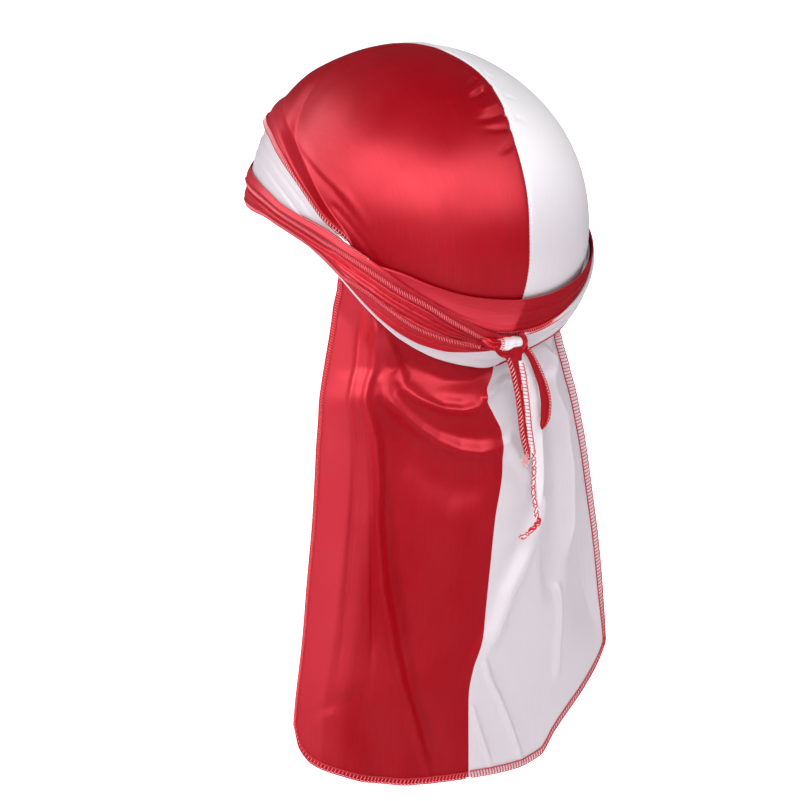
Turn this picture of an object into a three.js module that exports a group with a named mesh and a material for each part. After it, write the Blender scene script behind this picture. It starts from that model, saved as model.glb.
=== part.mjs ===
// Two-tone satin head wrap in its tied form: a crown of two panels, a long tail
// of two panels that hangs at the nape, and two wide straps that pass once and a
// half round the head and are knotted at the back.
// Millimetres, +Z up, the wearer faces -Y, so the wearer's left is +X.
// The origin is the middle of the hollow, level with the widest part of the head.
// Places on the wrap are given by two angles in degrees: around, from the back
// (0) over the wearer's left (90) to the front (180), and polar, from the top.

import * as THREE from 'three';

// Driving dimensions: the form that the cloth lies on
const headHalfWidth = 77;
const headHalfDepth = 97;
const headHalfHeight = 90;
const foreheadFullness = 0.09;
const foreheadPolar = 58;
const foreheadSpread = 28;
const faceTaper = 0.08;
const faceTaperFrom = 90;
const napeTaper = 0.10;
const napeTaperFrom = 92;
const napeTaperTo = 132;
const sideTaper = 0.04;
const sideTaperFrom = 95;
const jawPolar = 140;

// Driving dimensions: cloth and clearances
const crownWall = 1.2;
const strapWall = 1.0;
const endWall = 1.0;
const clothGap = 0.45;
const seamGap = 0.3;

// Driving dimensions: the rolled edge of the crown, from the angle around at which
// it is gathered. The roll reaches its full width over fullRollAngle, the crown
// climbs onto the straps over climbAngle, and onto the red one between two angles.
const rollHeight = 3.0;
const rollSpanAngle = 8.5;
const gatherAngle = 64;
const fullRollAngle = 60;
const climbAngle = 12;
const seamFadeAngle = 60;
const overRedFromAngle = 140;
const overRedToAngle = 158;
const crownPuff = 1.4;
const puckerDepth = 0.8;
const puckerAngle = 14;
const puckerSpreadAngle = 10;
const puckerPitchAngle = 12;

// Driving dimensions: tail, knot and strap ends
const tailLength = 220;
const tailHalfWidth = 100;
const tailTopDepth = 50;
const tailEasing = 0.08;
const tailLeftAngle = 70.5;
const tailRightAngle = -39;
const tailSeamAngle = 1.6;
const tailJointAngle = 0.2;
const strapClearanceAngle = 0.8;
const knotCoreRadius = 2.0;
const knotCoreLength = 21;
const knotWrapLength = 13.5;
const knotWrapWall = 1.0;
const knotAngle = 6.5;
const knotPolar = 118;
const flatEndLength = 43;
const rolledEndLength = 57;
const whiteEndLength = 85;
const endWidth = 8;
const endFacingAngle = 20;

// How finely the cloth is divided
const aroundStep = 6;
const crownRows = 15;
const rowCrowding = 1.3;
const strapColumns = 4;
const tailHeadRows = 4;
const tailHangRows = 16;
const tailColumns = 17;
const endRows = 12;
const endColumns = 3;
const knotSides = 14;

const red = 0xb3122a;
const white = 0xe9e4ec;

// Small tools

const radians = (degrees) => (degrees * Math.PI) / 180;

const mix = (a, b, t) => a + (b - a) * t;

const clamp = (t) => Math.min(1, Math.max(0, t));

// Eases from 0 at the first value to 1 at the second.
function ease(from, to, at) {
  const t = clamp((at - from) / (to - from));
  return t * t * (3 - 2 * t);
}

// A bell curve of height 1 and the given half width.
const bell = (distance, width) => Math.exp(-((distance / width) ** 2));

// Reads a column of a table at any place, on a smooth curve that never overshoots.
function read(rows, key, column, at) {
  const last = rows.length - 1;
  if (at <= rows[0][key]) return rows[0][column];
  if (at >= rows[last][key]) return rows[last][column];
  let i = 0;
  while (rows[i + 1][key] < at) i += 1;
  const slope = (k) => (rows[k + 1][column] - rows[k][column]) / (rows[k + 1][key] - rows[k][key]);
  const tangent = (k) => {
    if (k === 0) return slope(0);
    if (k === last) return slope(last - 1);
    const before = slope(k - 1);
    const after = slope(k);
    return before * after <= 0 ? 0 : (2 * before * after) / (before + after);
  };
  const span = rows[i + 1][key] - rows[i][key];
  const t = (at - rows[i][key]) / span;
  const a = rows[i][column];
  const b = rows[i + 1][column];
  const rise = tangent(i) * span;
  const fall = tangent(i + 1) * span;
  return a + t * (rise + t * (3 * (b - a) - 2 * rise - fall + t * (2 * (a - b) + rise + fall)));
}

// Makes one closed body of a sheet from two matching grids of points.
function sheetGeometry(outer, inner) {
  const positions = [];
  const known = new Map();
  const indexOf = (point) => {
    const name = point.toArray().map((value) => value.toFixed(4)).join(' ');
    if (!known.has(name)) {
      known.set(name, known.size);
      positions.push(...point.toArray());
    }
    return known.get(name);
  };
  const faces = [];
  const addTriangle = (a, b, c) => {
    if (a !== b && b !== c && c !== a) faces.push(a, b, c);
  };
  const addQuad = (p, q, r, s) => {
    const [a, b, c, d] = [p, q, r, s].map(indexOf);
    addTriangle(a, b, c);
    addTriangle(a, c, d);
  };
  const rows = outer.length - 1;
  const columns = outer[0].length - 1;
  for (let i = 0; i < rows; i += 1) {
    for (let j = 0; j < columns; j += 1) {
      addQuad(outer[i][j], outer[i][j + 1], outer[i + 1][j + 1], outer[i + 1][j]);
      addQuad(inner[i][j], inner[i + 1][j], inner[i + 1][j + 1], inner[i][j + 1]);
    }
    addQuad(outer[i][0], outer[i + 1][0], inner[i + 1][0], inner[i][0]);
    addQuad(outer[i + 1][columns], outer[i][columns], inner[i][columns], inner[i + 1][columns]);
  }
  for (let j = 0; j < columns; j += 1) {
    addQuad(outer[0][j + 1], outer[0][j], inner[0][j], inner[0][j + 1]);
    addQuad(outer[rows][j], outer[rows][j + 1], inner[rows][j + 1], inner[rows][j]);
  }
  const geometry = new THREE.BufferGeometry();
  geometry.setAttribute('position', new THREE.Float32BufferAttribute(positions, 3));
  geometry.setIndex(facingOut(positions, faces));
  geometry.computeVertexNormals();
  return geometry;
}

// Turns every triangle round if the body's volume comes out negative.
function facingOut(positions, faces) {
  const corner = (k) => new THREE.Vector3().fromArray(positions, 3 * faces[k]);
  let volume = 0;
  for (let k = 0; k < faces.length; k += 3) {
    volume += corner(k).dot(corner(k + 1).cross(corner(k + 2)));
  }
  if (volume > 0) return faces;
  const turned = [];
  for (let k = 0; k < faces.length; k += 3) turned.push(faces[k], faces[k + 2], faces[k + 1]);
  return turned;
}

// Fills a grid of points, row by row, from a function of two whole numbers.
function grid(rows, columns, place) {
  const points = [];
  for (let i = 0; i <= rows; i += 1) {
    const row = [];
    for (let j = 0; j <= columns; j += 1) row.push(place(i, j));
    points.push(row);
  }
  return points;
}

function clothPiece(name, geometry, colour) {
  const material = new THREE.MeshStandardMaterial({ color: colour, roughness: 0.35, metalness: 0 });
  const piece = new THREE.Mesh(geometry, material);
  piece.name = name;
  return piece;
}

// The form that everything lies on: an egg with a full forehead, drawn in
// towards the nape, the sides and the face below its widest level.
function onHead(around, polar, off) {
  const turn = radians(around);
  const down = radians(polar);
  const front = (1 - Math.cos(turn)) / 2;
  const forehead = foreheadFullness * bell(polar - foreheadPolar, foreheadSpread);
  const face = faceTaper * ease(faceTaperFrom, jawPolar, polar);
  const nape = napeTaper * ease(napeTaperFrom, napeTaperTo, polar);
  const depth = 1 + front * (forehead - face) - (1 - front) * nape;
  const width = 1 - sideTaper * ease(sideTaperFrom, jawPolar, polar);
  return new THREE.Vector3(
    (headHalfWidth + off) * width * Math.sin(down) * Math.sin(turn),
    (headHalfDepth + off) * depth * Math.sin(down) * Math.cos(turn),
    (headHalfHeight + off) * Math.cos(down),
  );
}

// Where the inner face of a layer of strap lies: layer 1 is next to the crown.
const layerStart = (layer) => crownWall + clothGap + (layer - 1) * (strapWall + clothGap);

// Straps: each row gives the upper and lower edge of the ribbon by polar angle,
// the layer that it lies in and the height of its two lengthwise pleats in mm.
// turn is the angle around, running on past the front.
const redStrapRows = [
  { turn: -63, top: 92.0, bottom: 96.0, layer: 2, pleat: 0 },
  { turn: -48, top: 95.3, bottom: 105.0, layer: 2, pleat: 0 },
  { turn: -38, top: 98.9, bottom: 106.2, layer: 2, pleat: 0 },
  { turn: -25, top: 102.4, bottom: 112.6, layer: 2, pleat: 0 },
  { turn: -14, top: 103.9, bottom: 116.5, layer: 2, pleat: 0 },
  { turn: -4, top: 104.6, bottom: 117.6, layer: 2, pleat: 0 },
  { turn: 6, top: 104.2, bottom: 117.1, layer: 2, pleat: 0 },
  { turn: 18, top: 102.6, bottom: 114.8, layer: 2, pleat: 0 },
  { turn: 30, top: 99.8, bottom: 111.2, layer: 2, pleat: 0 },
  { turn: 45, top: 95.5, bottom: 106.0, layer: 2, pleat: 0 },
  { turn: 60, top: 90.8, bottom: 100.4, layer: 2, pleat: 0 },
  { turn: 67, top: 87.6, bottom: 97.5, layer: 2, pleat: 0 },
  { turn: 77, top: 79.8, bottom: 93.0, layer: 2, pleat: 0 },
  { turn: 87, top: 71.6, bottom: 87.0, layer: 2, pleat: 0 },
  { turn: 99, top: 64.4, bottom: 81.5, layer: 2, pleat: 0 },
  { turn: 114, top: 59.4, bottom: 77.5, layer: 2, pleat: 0 },
  { turn: 133, top: 57.5, bottom: 75.0, layer: 2, pleat: 0 },
  { turn: 150, top: 58.2, bottom: 73.5, layer: 2, pleat: 0 },
  { turn: 165, top: 60.8, bottom: 77.0, layer: 2, pleat: 0 },
  { turn: 180, top: 64.0, bottom: 81.5, layer: 2, pleat: 0.3 },
  { turn: 195, top: 69.0, bottom: 84.5, layer: 2, pleat: 0.8 },
  { turn: 210, top: 73.0, bottom: 86.0, layer: 2, pleat: 0.9 },
  { turn: 227, top: 74.2, bottom: 85.7, layer: 2, pleat: 0.9 },
  { turn: 240, top: 74.8, bottom: 85.0, layer: 2, pleat: 0.9 },
  { turn: 254, top: 76.8, bottom: 84.8, layer: 2, pleat: 0.9 },
  { turn: 266, top: 79.8, bottom: 86.4, layer: 2, pleat: 0.9 },
  { turn: 277, top: 82.9, bottom: 89.2, layer: 2, pleat: 0.9 },
  { turn: 285, top: 85.7, bottom: 92.6, layer: 2.4, pleat: 0.9 },
  { turn: 289, top: 87.4, bottom: 95.2, layer: 2.8, pleat: 0.9 },
  { turn: 294, top: 89.4, bottom: 99.4, layer: 3, pleat: 1.0 },
  { turn: 300, top: 92.2, bottom: 104.6, layer: 3, pleat: 1.1 },
  { turn: 306, top: 95.2, bottom: 109.4, layer: 3, pleat: 1.1 },
  { turn: 313, top: 98.9, bottom: 114.0, layer: 3, pleat: 1.1 },
  { turn: 321, top: 102.8, bottom: 117.9, layer: 3, pleat: 1.1 },
  { turn: 333, top: 109.2, bottom: 121.4, layer: 3, pleat: 1.0 },
  { turn: 346, top: 114.9, bottom: 122.4, layer: 3, pleat: 0.8 },
  { turn: 351, top: 116.2, bottom: 122.0, layer: 3, pleat: 0.5 },
];

const whiteStrapRows = [
  { turn: -63, top: 92.0, bottom: 97.0, layer: 1, pleat: 0 },
  { turn: -45, top: 97.5, bottom: 112.0, layer: 1, pleat: 0 },
  { turn: -30, top: 103.0, bottom: 122.6, layer: 1, pleat: 0 },
  { turn: -18, top: 107.0, bottom: 127.0, layer: 1, pleat: 0 },
  { turn: -5, top: 111.0, bottom: 131.0, layer: 1, pleat: 0 },
  { turn: 7, top: 113.5, bottom: 132.2, layer: 1, pleat: 0 },
  { turn: 17, top: 114.0, bottom: 130.6, layer: 1, pleat: 0 },
  { turn: 25, top: 113.3, bottom: 128.8, layer: 1, pleat: 0 },
  { turn: 34, top: 110.8, bottom: 126.0, layer: 1, pleat: 0 },
  { turn: 48, top: 104.0, bottom: 118.6, layer: 1, pleat: 0 },
  { turn: 55, top: 99.6, bottom: 112.8, layer: 1, pleat: 0 },
  { turn: 62, top: 93.4, bottom: 106.0, layer: 1, pleat: 0 },
  { turn: 67, top: 88.1, bottom: 101.0, layer: 1, pleat: 0 },
  { turn: 72, top: 84.1, bottom: 96.8, layer: 1, pleat: 0 },
  { turn: 77, top: 79.6, bottom: 93.4, layer: 1, pleat: 0 },
  { turn: 87, top: 71.2, bottom: 87.4, layer: 1, pleat: 0 },
  { turn: 99, top: 64.2, bottom: 83.0, layer: 1, pleat: 0 },
  { turn: 114, top: 59.4, bottom: 79.5, layer: 1, pleat: 0 },
  { turn: 133, top: 57.5, bottom: 77.5, layer: 1, pleat: 0 },
  { turn: 150, top: 58.2, bottom: 77.0, layer: 1, pleat: 0 },
  { turn: 165, top: 60.8, bottom: 79.0, layer: 1, pleat: 0 },
  { turn: 180, top: 64.0, bottom: 82.0, layer: 1, pleat: 0 },
  { turn: 193, top: 70.5, bottom: 85.0, layer: 1, pleat: 0 },
  { turn: 202, top: 75.5, bottom: 86.5, layer: 1, pleat: 0 },
  { turn: 216, top: 76.5, bottom: 87.0, layer: 3, pleat: 0.6 },
  { turn: 227, top: 75.8, bottom: 86.5, layer: 3, pleat: 0.9 },
  { turn: 245, top: 76.6, bottom: 86.0, layer: 3, pleat: 0.9 },
  { turn: 261, top: 79.0, bottom: 87.5, layer: 3, pleat: 0.9 },
  { turn: 277, top: 83.6, bottom: 91.0, layer: 3, pleat: 0.9 },
  { turn: 294, top: 90.0, bottom: 100.5, layer: 3, pleat: 1.0 },
  { turn: 306, top: 96.5, bottom: 108.5, layer: 3, pleat: 1.1 },
  { turn: 319, top: 104.5, bottom: 116.0, layer: 3, pleat: 1.0 },
  { turn: 330, top: 109.3, bottom: 121.0, layer: 3, pleat: 0.7 },
  { turn: 341, top: 113.2, bottom: 122.8, layer: 3, pleat: 0.4 },
  { turn: 350, top: 116.0, bottom: 124.4, layer: 3, pleat: 0.3 },
  { turn: 358, top: 116.6, bottom: 122.4, layer: 3, pleat: 0.3 },
];

// The red strap starts at the wearer's left and runs backwards, so its turn
// counts the other way round.
const wayOf = { red: -1, white: 1 };

// Two pleats run along a strap: none at its edges and middle, full between them.
const pleatShape = (across) => Math.sin(2 * Math.PI * across) ** 2;

function strap(name, rows, way, colour) {
  const first = rows[0].turn;
  const total = rows[rows.length - 1].turn - first;
  const stations = Math.round(total / aroundStep);
  const face = (depth) => (i, j) => {
    const turn = first + (total * i) / stations;
    const across = j / strapColumns;
    const polar = mix(read(rows, 'turn', 'top', turn), read(rows, 'turn', 'bottom', turn), across);
    const lie = layerStart(read(rows, 'turn', 'layer', turn));
    const pleat = read(rows, 'turn', 'pleat', turn) * pleatShape(across);
    return onHead(way * turn, polar, lie + pleat + depth);
  };
  const outer = grid(stations, strapColumns, face(strapWall));
  const inner = grid(stations, strapColumns, face(0));
  return clothPiece(name, sheetGeometry(outer, inner), colour);
}

// The lowest edge of the straps at an angle around, over both of their passes.
function strapBottom(around) {
  let lowest = 0;
  for (const [rows, way] of [[redStrapRows, wayOf.red], [whiteStrapRows, wayOf.white]]) {
    for (const pass of [0, 360]) {
      const turn = way * around + pass;
      const inside = turn >= rows[0].turn && turn <= rows[rows.length - 1].turn;
      if (inside) lowest = Math.max(lowest, read(rows, 'turn', 'bottom', turn));
    }
  }
  return lowest;
}

// Crown: the lower edge of its panels and the wander of the middle seam.
const crownRimRows = [
  { around: 0, rim: 108.0 },
  { around: 30, rim: 107.0 },
  { around: 42, rim: 105.0 },
  { around: 50, rim: 100.5 },
  { around: 57, rim: 97.0 },
  { around: 62, rim: 93.0 },
  { around: 67, rim: 87.0 },
  { around: 71, rim: 84.2 },
  { around: 75, rim: 81.4 },
  { around: 80, rim: 77.4 },
  { around: 87, rim: 72.4 },
  { around: 99, rim: 65.6 },
  { around: 114, rim: 60.6 },
  { around: 137, rim: 58.2 },
  { around: 150, rim: 59.5 },
  { around: 165, rim: 62.5 },
  { around: 180, rim: 65.5 },
];

const seamRows = [
  { polar: 0, wander: -10 },
  { polar: 26, wander: -8 },
  { polar: 40, wander: -4 },
  { polar: 56, wander: 0.7 },
  { polar: 72, wander: 2.0 },
  { polar: 88, wander: 3.4 },
  { polar: 108, wander: 3.6 },
];

const seamAtBack = (polar) => read(seamRows, 'polar', 'wander', polar);

// Over the front the wander fades with the way down from the top.
const seamAtFront = (polar) => 180 + seamRows[0].wander * (1 - ease(0, seamFadeAngle, polar));

// The hem is rolled over the upper edge of the straps: it stands off the head
// by the layers below it, swells into a roll, and sinks into a valley behind it.
function crownLift(around, polar) {
  const side = Math.abs(around);
  const rim = read(crownRimRows, 'around', 'rim', side);
  const width = rollSpanAngle * Math.sqrt(clamp((side - gatherAngle) / fullRollAngle));
  if (width === 0) return 0;
  // The share of the roll's width that a place lies behind the rim, then beyond it.
  const back = (rim - polar) / width;
  const overRed = around < 0 ? 1 : ease(overRedFromAngle, overRedToAngle, around);
  const over = mix(layerStart(2), layerStart(3), overRed);
  const climb = ease(gatherAngle, gatherAngle + climbAngle, side);
  const standing = over * climb * (1 - ease(0.45, 1, back));
  const fullness = width / rollSpanAngle;
  const roll = back < 1 ? rollHeight * fullness * Math.sin(Math.PI * back) : 0;
  const puff = crownPuff * ease(1, 2.2, back) * (1 - ease(3.5, 6, back));
  return standing + roll + puff;
}

// Short puckers that the middle seam draws into the panel beside it, and how deep
// they are on the way down from the top, in shares of their depth.
const puckerRows = [
  { polar: 12, depth: 0 },
  { polar: 26, depth: 1 },
  { polar: 60, depth: 1 },
  { polar: 84, depth: 0 },
];

function crownPucker(around, polar) {
  const beside = bell(Math.abs(around) - puckerAngle, puckerSpreadAngle);
  const wave = 0.5 + 0.5 * Math.cos((2 * Math.PI * polar) / puckerPitchAngle);
  return puckerDepth * read(puckerRows, 'polar', 'depth', polar) * beside * wave;
}

function crownPanel(name, side, colour) {
  const columns = Math.round(180 / aroundStep);
  const backRim = read(crownRimRows, 'around', 'rim', 0);
  const frontRim = read(crownRimRows, 'around', 'rim', 180);
  const face = (depth) => (i, j) => {
    const down = 1 - (1 - i / crownRows) ** rowCrowding;
    const start = seamAtBack(down * backRim);
    const end = seamAtFront(down * frontRim) - (side > 0 ? 0 : 360);
    const around = mix(start, end, j / columns);
    const polar = down * read(crownRimRows, 'around', 'rim', Math.abs(around));
    const lift = crownLift(around, polar) + crownPucker(around, polar);
    const point = onHead(around, polar, lift + depth);
    point.x += (side * seamGap) / 2;
    return point;
  };
  const outer = grid(crownRows, columns, face(crownWall));
  const inner = grid(crownRows, columns, face(0));
  return clothPiece(name, sheetGeometry(outer, inner), colour);
}

// Tail: its plan at several depths, X in shares of the tail's half width and Y
// in shares of the head's half depth, for the left hem, the seam and the right hem.
const tailPlanRows = [
  { drop: -0.13, leftX: 0.7, leftY: 0.28, seamX: -0.03, seamY: 0.64, rightX: -0.4, rightY: 0.56 },
  { drop: -0.04, leftX: 0.75, leftY: 0.305, seamX: -0.03, seamY: 0.66, rightX: -0.45, rightY: 0.54 },
  { drop: 0.04, leftX: 0.797, leftY: 0.32, seamX: -0.01, seamY: 0.68, rightX: -0.505, rightY: 0.54 },
  { drop: 0.075, leftX: 0.815, leftY: 0.325, seamX: 0.05, seamY: 0.695, rightX: -0.53, rightY: 0.545 },
  { drop: 0.115, leftX: 0.834, leftY: 0.332, seamX: 0.089, seamY: 0.711, rightX: -0.555, rightY: 0.55 },
  { drop: 0.16, leftX: 0.847, leftY: 0.34, seamX: 0.055, seamY: 0.725, rightX: -0.585, rightY: 0.555 },
  { drop: 0.21, leftX: 0.862, leftY: 0.345, seamX: 0.014, seamY: 0.737, rightX: -0.61, rightY: 0.56 },
  { drop: 0.29, leftX: 0.88, leftY: 0.355, seamX: 0.022, seamY: 0.755, rightX: -0.648, rightY: 0.565 },
  { drop: 0.4, leftX: 0.91, leftY: 0.372, seamX: 0.078, seamY: 0.773, rightX: -0.685, rightY: 0.575 },
  { drop: 0.52, leftX: 0.946, leftY: 0.381, seamX: 0.119, seamY: 0.784, rightX: -0.722, rightY: 0.588 },
  { drop: 0.65, leftX: 0.983, leftY: 0.393, seamX: 0.165, seamY: 0.795, rightX: -0.75, rightY: 0.6 },
  { drop: 0.81, leftX: 1.046, leftY: 0.414, seamX: 0.284, seamY: 0.812, rightX: -0.772, rightY: 0.61 },
  { drop: 1.0, leftX: 1.1, leftY: 0.44, seamX: 0.275, seamY: 0.825, rightX: -0.765, rightY: 0.62 },
];

// Its lower hem, in shares of the tail's length. across is 1 at the left hem,
// 0 at the seam and -1 at the right hem.
const tailHemRows = [
  { across: -1.0, drop: 0.782 },
  { across: -0.93, drop: 0.823 },
  { across: -0.8, drop: 0.873 },
  { across: -0.68, drop: 0.91 },
  { across: -0.58, drop: 0.945 },
  { across: -0.48, drop: 0.988 },
  { across: -0.3, drop: 1.0 },
  { across: 0.0, drop: 0.995 },
  { across: 0.45, drop: 0.986 },
  { across: 0.75, drop: 0.957 },
  { across: 0.88, drop: 0.936 },
  { across: 0.96, drop: 0.9 },
  { across: 1.0, drop: 0.845 },
];

// Folds: each is a ridge, or a valley where its height is negative, along a line
// from one place on the tail to another, bowed downwards by its sag. Widths and
// heights are in shares of the tail's half width, the sag in shares of its length.
const tailFolds = [
  { fromAcross: 0.88, fromDrop: 0.02, toAcross: 0.84, toDrop: 0.95, sag: 0, width: 0.06, height: 0.035 },
  { fromAcross: 0.8, fromDrop: 0.0, toAcross: 0.66, toDrop: 1.0, sag: 0, width: 0.07, height: -0.03 },
  { fromAcross: 0.72, fromDrop: 0.0, toAcross: 0.42, toDrop: 1.0, sag: 0, width: 0.08, height: 0.045 },
  { fromAcross: 0.66, fromDrop: -0.02, toAcross: -0.02, toDrop: 0.08, sag: 0.04, width: 0.07, height: 0.032 },
  { fromAcross: 0.68, fromDrop: 0.02, toAcross: -0.05, toDrop: 0.19, sag: 0.06, width: 0.09, height: 0.04 },
  { fromAcross: -0.3, fromDrop: 0.1, toAcross: -0.45, toDrop: 1.0, sag: 0, width: 0.09, height: -0.035 },
  { fromAcross: -0.62, fromDrop: 0.0, toAcross: -0.7, toDrop: 0.9, sag: 0, width: 0.1, height: 0.035 },
];

// How far a fold lifts the cloth at a place, by the distance to the fold's line.
function foldLift(fold, across, drop) {
  const scale = tailLength / tailHalfWidth;
  const runX = fold.toAcross - fold.fromAcross;
  const runY = (fold.toDrop - fold.fromDrop) * scale;
  const x = across - fold.fromAcross;
  const y = (drop - fold.fromDrop) * scale;
  const along = clamp((x * runX + y * runY) / (runX * runX + runY * runY));
  const bow = 4 * fold.sag * scale * along * (1 - along);
  const away = Math.hypot(x - along * runX, y - along * runY - bow);
  return tailHalfWidth * fold.height * bell(away, fold.width);
}

// The top edge of the tail, hidden under the straps, where it is sewn to the crown.
const tailTopRows = [
  { around: 0, top: 108.0 },
  { around: 30, top: 107.0 },
  { around: 42, top: 106.5 },
  { around: 52, top: 106.0 },
  { around: 60, top: 102.0 },
  { around: 77, top: 91.0 },
];

// The angle around at which a line down the tail leaves the straps. The seam
// shifts sideways under them, by the share of the way down.
function tailAround(across, share) {
  const seam = mix(seamRows[seamRows.length - 1].wander, tailSeamAngle, share);
  const hem = across > 0 ? tailLeftAngle : tailRightAngle;
  return seam + Math.abs(across) * (hem - seam);
}

// Under the straps the tail lies on the head, from its top edge to their lower edge.
function tailUnderStraps(across, share, depth) {
  const around = tailAround(across, share);
  const top = read(tailTopRows, 'around', 'top', Math.abs(around)) + tailJointAngle;
  const polar = mix(top, strapBottom(around) + strapClearanceAngle, share);
  return onHead(around, polar, depth);
}

// Below the straps it hangs freely, and its plan eases from the head's to the table's.
function tailHanging(across, fall, depth) {
  const start = tailUnderStraps(across, 1, 0);
  const startDrop = (-start.z - tailTopDepth) / tailLength;
  const drop = mix(startDrop, read(tailHemRows, 'across', 'drop', across), fall);
  const plan = (x, y) => new THREE.Vector2(
    read(tailPlanRows, 'drop', x, drop) * tailHalfWidth,
    read(tailPlanRows, 'drop', y, drop) * headHalfDepth,
  );
  const left = plan('leftX', 'leftY');
  const middle = plan('seamX', 'seamY');
  const right = plan('rightX', 'rightY');
  const tilt = left.clone().sub(right).multiplyScalar(0.5);
  const bend = left.clone().add(right).multiplyScalar(0.5).sub(middle);
  const place = middle.addScaledVector(tilt, across).addScaledVector(bend, across * across);
  const run = tilt.addScaledVector(bend, 2 * across).normalize();
  const free = ease(0, tailEasing, fall);
  let lift = depth;
  for (const fold of tailFolds) lift += ease(0.02, 0.1, fall) * foldLift(fold, across, drop);
  return new THREE.Vector3(
    mix(start.x, place.x, free) - run.y * lift,
    mix(start.y, place.y, free) + run.x * lift,
    -tailTopDepth - drop * tailLength,
  );
}

function tailPanel(name, side, colour) {
  const face = (depth) => (i, j) => {
    const across = (side * j) / tailColumns;
    const fall = ((i - tailHeadRows) / tailHangRows) ** rowCrowding;
    const point = i > tailHeadRows
      ? tailHanging(across, fall, depth)
      : tailUnderStraps(across, i / tailHeadRows, depth);
    point.x += (side * seamGap) / 2;
    return point;
  };
  const rows = tailHeadRows + tailHangRows;
  const outer = grid(rows, tailColumns, face(crownWall));
  const inner = grid(rows, tailColumns, face(0));
  return clothPiece(name, sheetGeometry(outer, inner), colour);
}

// Knot: a red core lying across the back, with a white turn wrapped round it.
const knotWrapRadius = knotCoreRadius + clothGap + knotWrapWall;

const lobeRadius = 1.2 * knotCoreRadius;

const knotOff = layerStart(4) + knotWrapRadius;

const knotCentre = () => onHead(knotAngle, knotPolar, knotOff);

// A body of revolution about the X axis at the knot.
function aboutKnot(name, profile, sides, colour) {
  const geometry = new THREE.LatheGeometry(profile, sides);
  geometry.rotateZ(-Math.PI / 2);
  const piece = clothPiece(name, geometry, colour);
  piece.position.copy(knotCentre());
  return piece;
}

// The core's section swells into a lobe on each side of the turn. reach is the
// share of the way from the turn's edge to the core's end.
const lobeRows = [
  { reach: 0.0, radius: knotCoreRadius },
  { reach: 0.5, radius: lobeRadius },
  { reach: 0.85, radius: 0.6 * lobeRadius },
  { reach: 1.0, radius: 0 },
];

function knotCore() {
  const turnHalf = knotWrapLength / 2;
  const corner = (row, side) => new THREE.Vector2(
    row.radius,
    side * mix(turnHalf, knotCoreLength / 2, row.reach),
  );
  const lower = [...lobeRows].reverse().map((row) => corner(row, -1));
  const upper = lobeRows.map((row) => corner(row, 1));
  return aboutKnot('knot_core', [...lower, ...upper], knotSides, red);
}

function knotWrap() {
  const half = 0.5 * knotWrapLength - seamGap;
  const inner = knotCoreRadius + clothGap;
  const outer = knotWrapRadius;
  const shoulder = outer - 0.3 * knotWrapWall;
  const profile = [
    new THREE.Vector2(inner, -half),
    new THREE.Vector2(shoulder, -half),
    new THREE.Vector2(outer, -0.6 * half),
    new THREE.Vector2(outer, 0.6 * half),
    new THREE.Vector2(shoulder, half),
    new THREE.Vector2(inner, half),
    new THREE.Vector2(inner, -half),
  ];
  return aboutKnot('knot_wrap', profile, knotSides, white);
}

// Strap ends: each hangs from the knot. side and out are the places of the ribbon's
// middle from the knot's centre, in shares of the knot's length, and width is the
// ribbon's in shares of the ends' width.
const flatEndRows = [
  { drop: 0.0, side: -0.41, out: 0.06, width: 0.42 },
  { drop: 0.12, side: -0.6, out: 0.05, width: 0.42 },
  { drop: 0.26, side: -0.76, out: 0.04, width: 0.46 },
  { drop: 0.52, side: -0.98, out: 0.02, width: 0.68 },
  { drop: 0.82, side: -1.06, out: 0.0, width: 0.7 },
  { drop: 1.0, side: -0.99, out: 0.0, width: 0.15 },
];

const rolledEndRows = [
  { drop: 0.0, side: -0.05, out: 0.0, width: 1.15 },
  { drop: 0.13, side: -0.12, out: 0.02, width: 1.0 },
  { drop: 0.38, side: -0.32, out: 0.02, width: 0.85 },
  { drop: 0.56, side: -0.39, out: 0.02, width: 0.82 },
  { drop: 0.77, side: -0.49, out: 0.01, width: 0.82 },
  { drop: 0.93, side: -0.6, out: 0.0, width: 0.69 },
  { drop: 1.0, side: -0.6, out: 0.0, width: 0.5 },
];

const whiteEndRows = [
  { drop: 0.0, side: -0.41, out: -0.12, width: 0.5 },
  { drop: 0.13, side: -0.65, out: -0.17, width: 0.75 },
  { drop: 0.22, side: -0.77, out: -0.19, width: 0.88 },
  { drop: 0.36, side: -0.86, out: -0.19, width: 0.94 },
  { drop: 0.57, side: -0.96, out: -0.19, width: 0.94 },
  { drop: 0.73, side: -1.05, out: -0.19, width: 0.75 },
  { drop: 0.88, side: -1.12, out: -0.19, width: 0.52 },
  { drop: 1.0, side: -1.08, out: -0.19, width: 0.15 },
];

// The ends face the way the knot does, turned a little to the wearer's left.
// Each is cupped by half its wall, and starts below the part of the knot that has the
// radius below.
function hangingEnd(name, rows, length, below, colour) {
  const knot = knotCentre();
  const topZ = knot.z - below - clothGap;
  const facing = radians(endFacingAngle);
  const face = (depth) => (i, j) => {
    const drop = i / endRows;
    const across = j / endColumns - 0.5;
    const side = knotCoreLength * read(rows, 'drop', 'side', drop);
    const out = knotCoreLength * read(rows, 'drop', 'out', drop);
    const sideways = across * endWidth * read(rows, 'drop', 'width', drop);
    const lift = depth + endWall * (0.5 - 2 * across * across);
    return new THREE.Vector3(
      knot.x + side + sideways * Math.cos(facing) + lift * Math.sin(facing),
      knot.y + out - sideways * Math.sin(facing) + lift * Math.cos(facing),
      topZ - drop * length,
    );
  };
  const outer = grid(endRows, endColumns, face(endWall));
  const inner = grid(endRows, endColumns, face(0));
  return clothPiece(name, sheetGeometry(outer, inner), colour);
}

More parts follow.
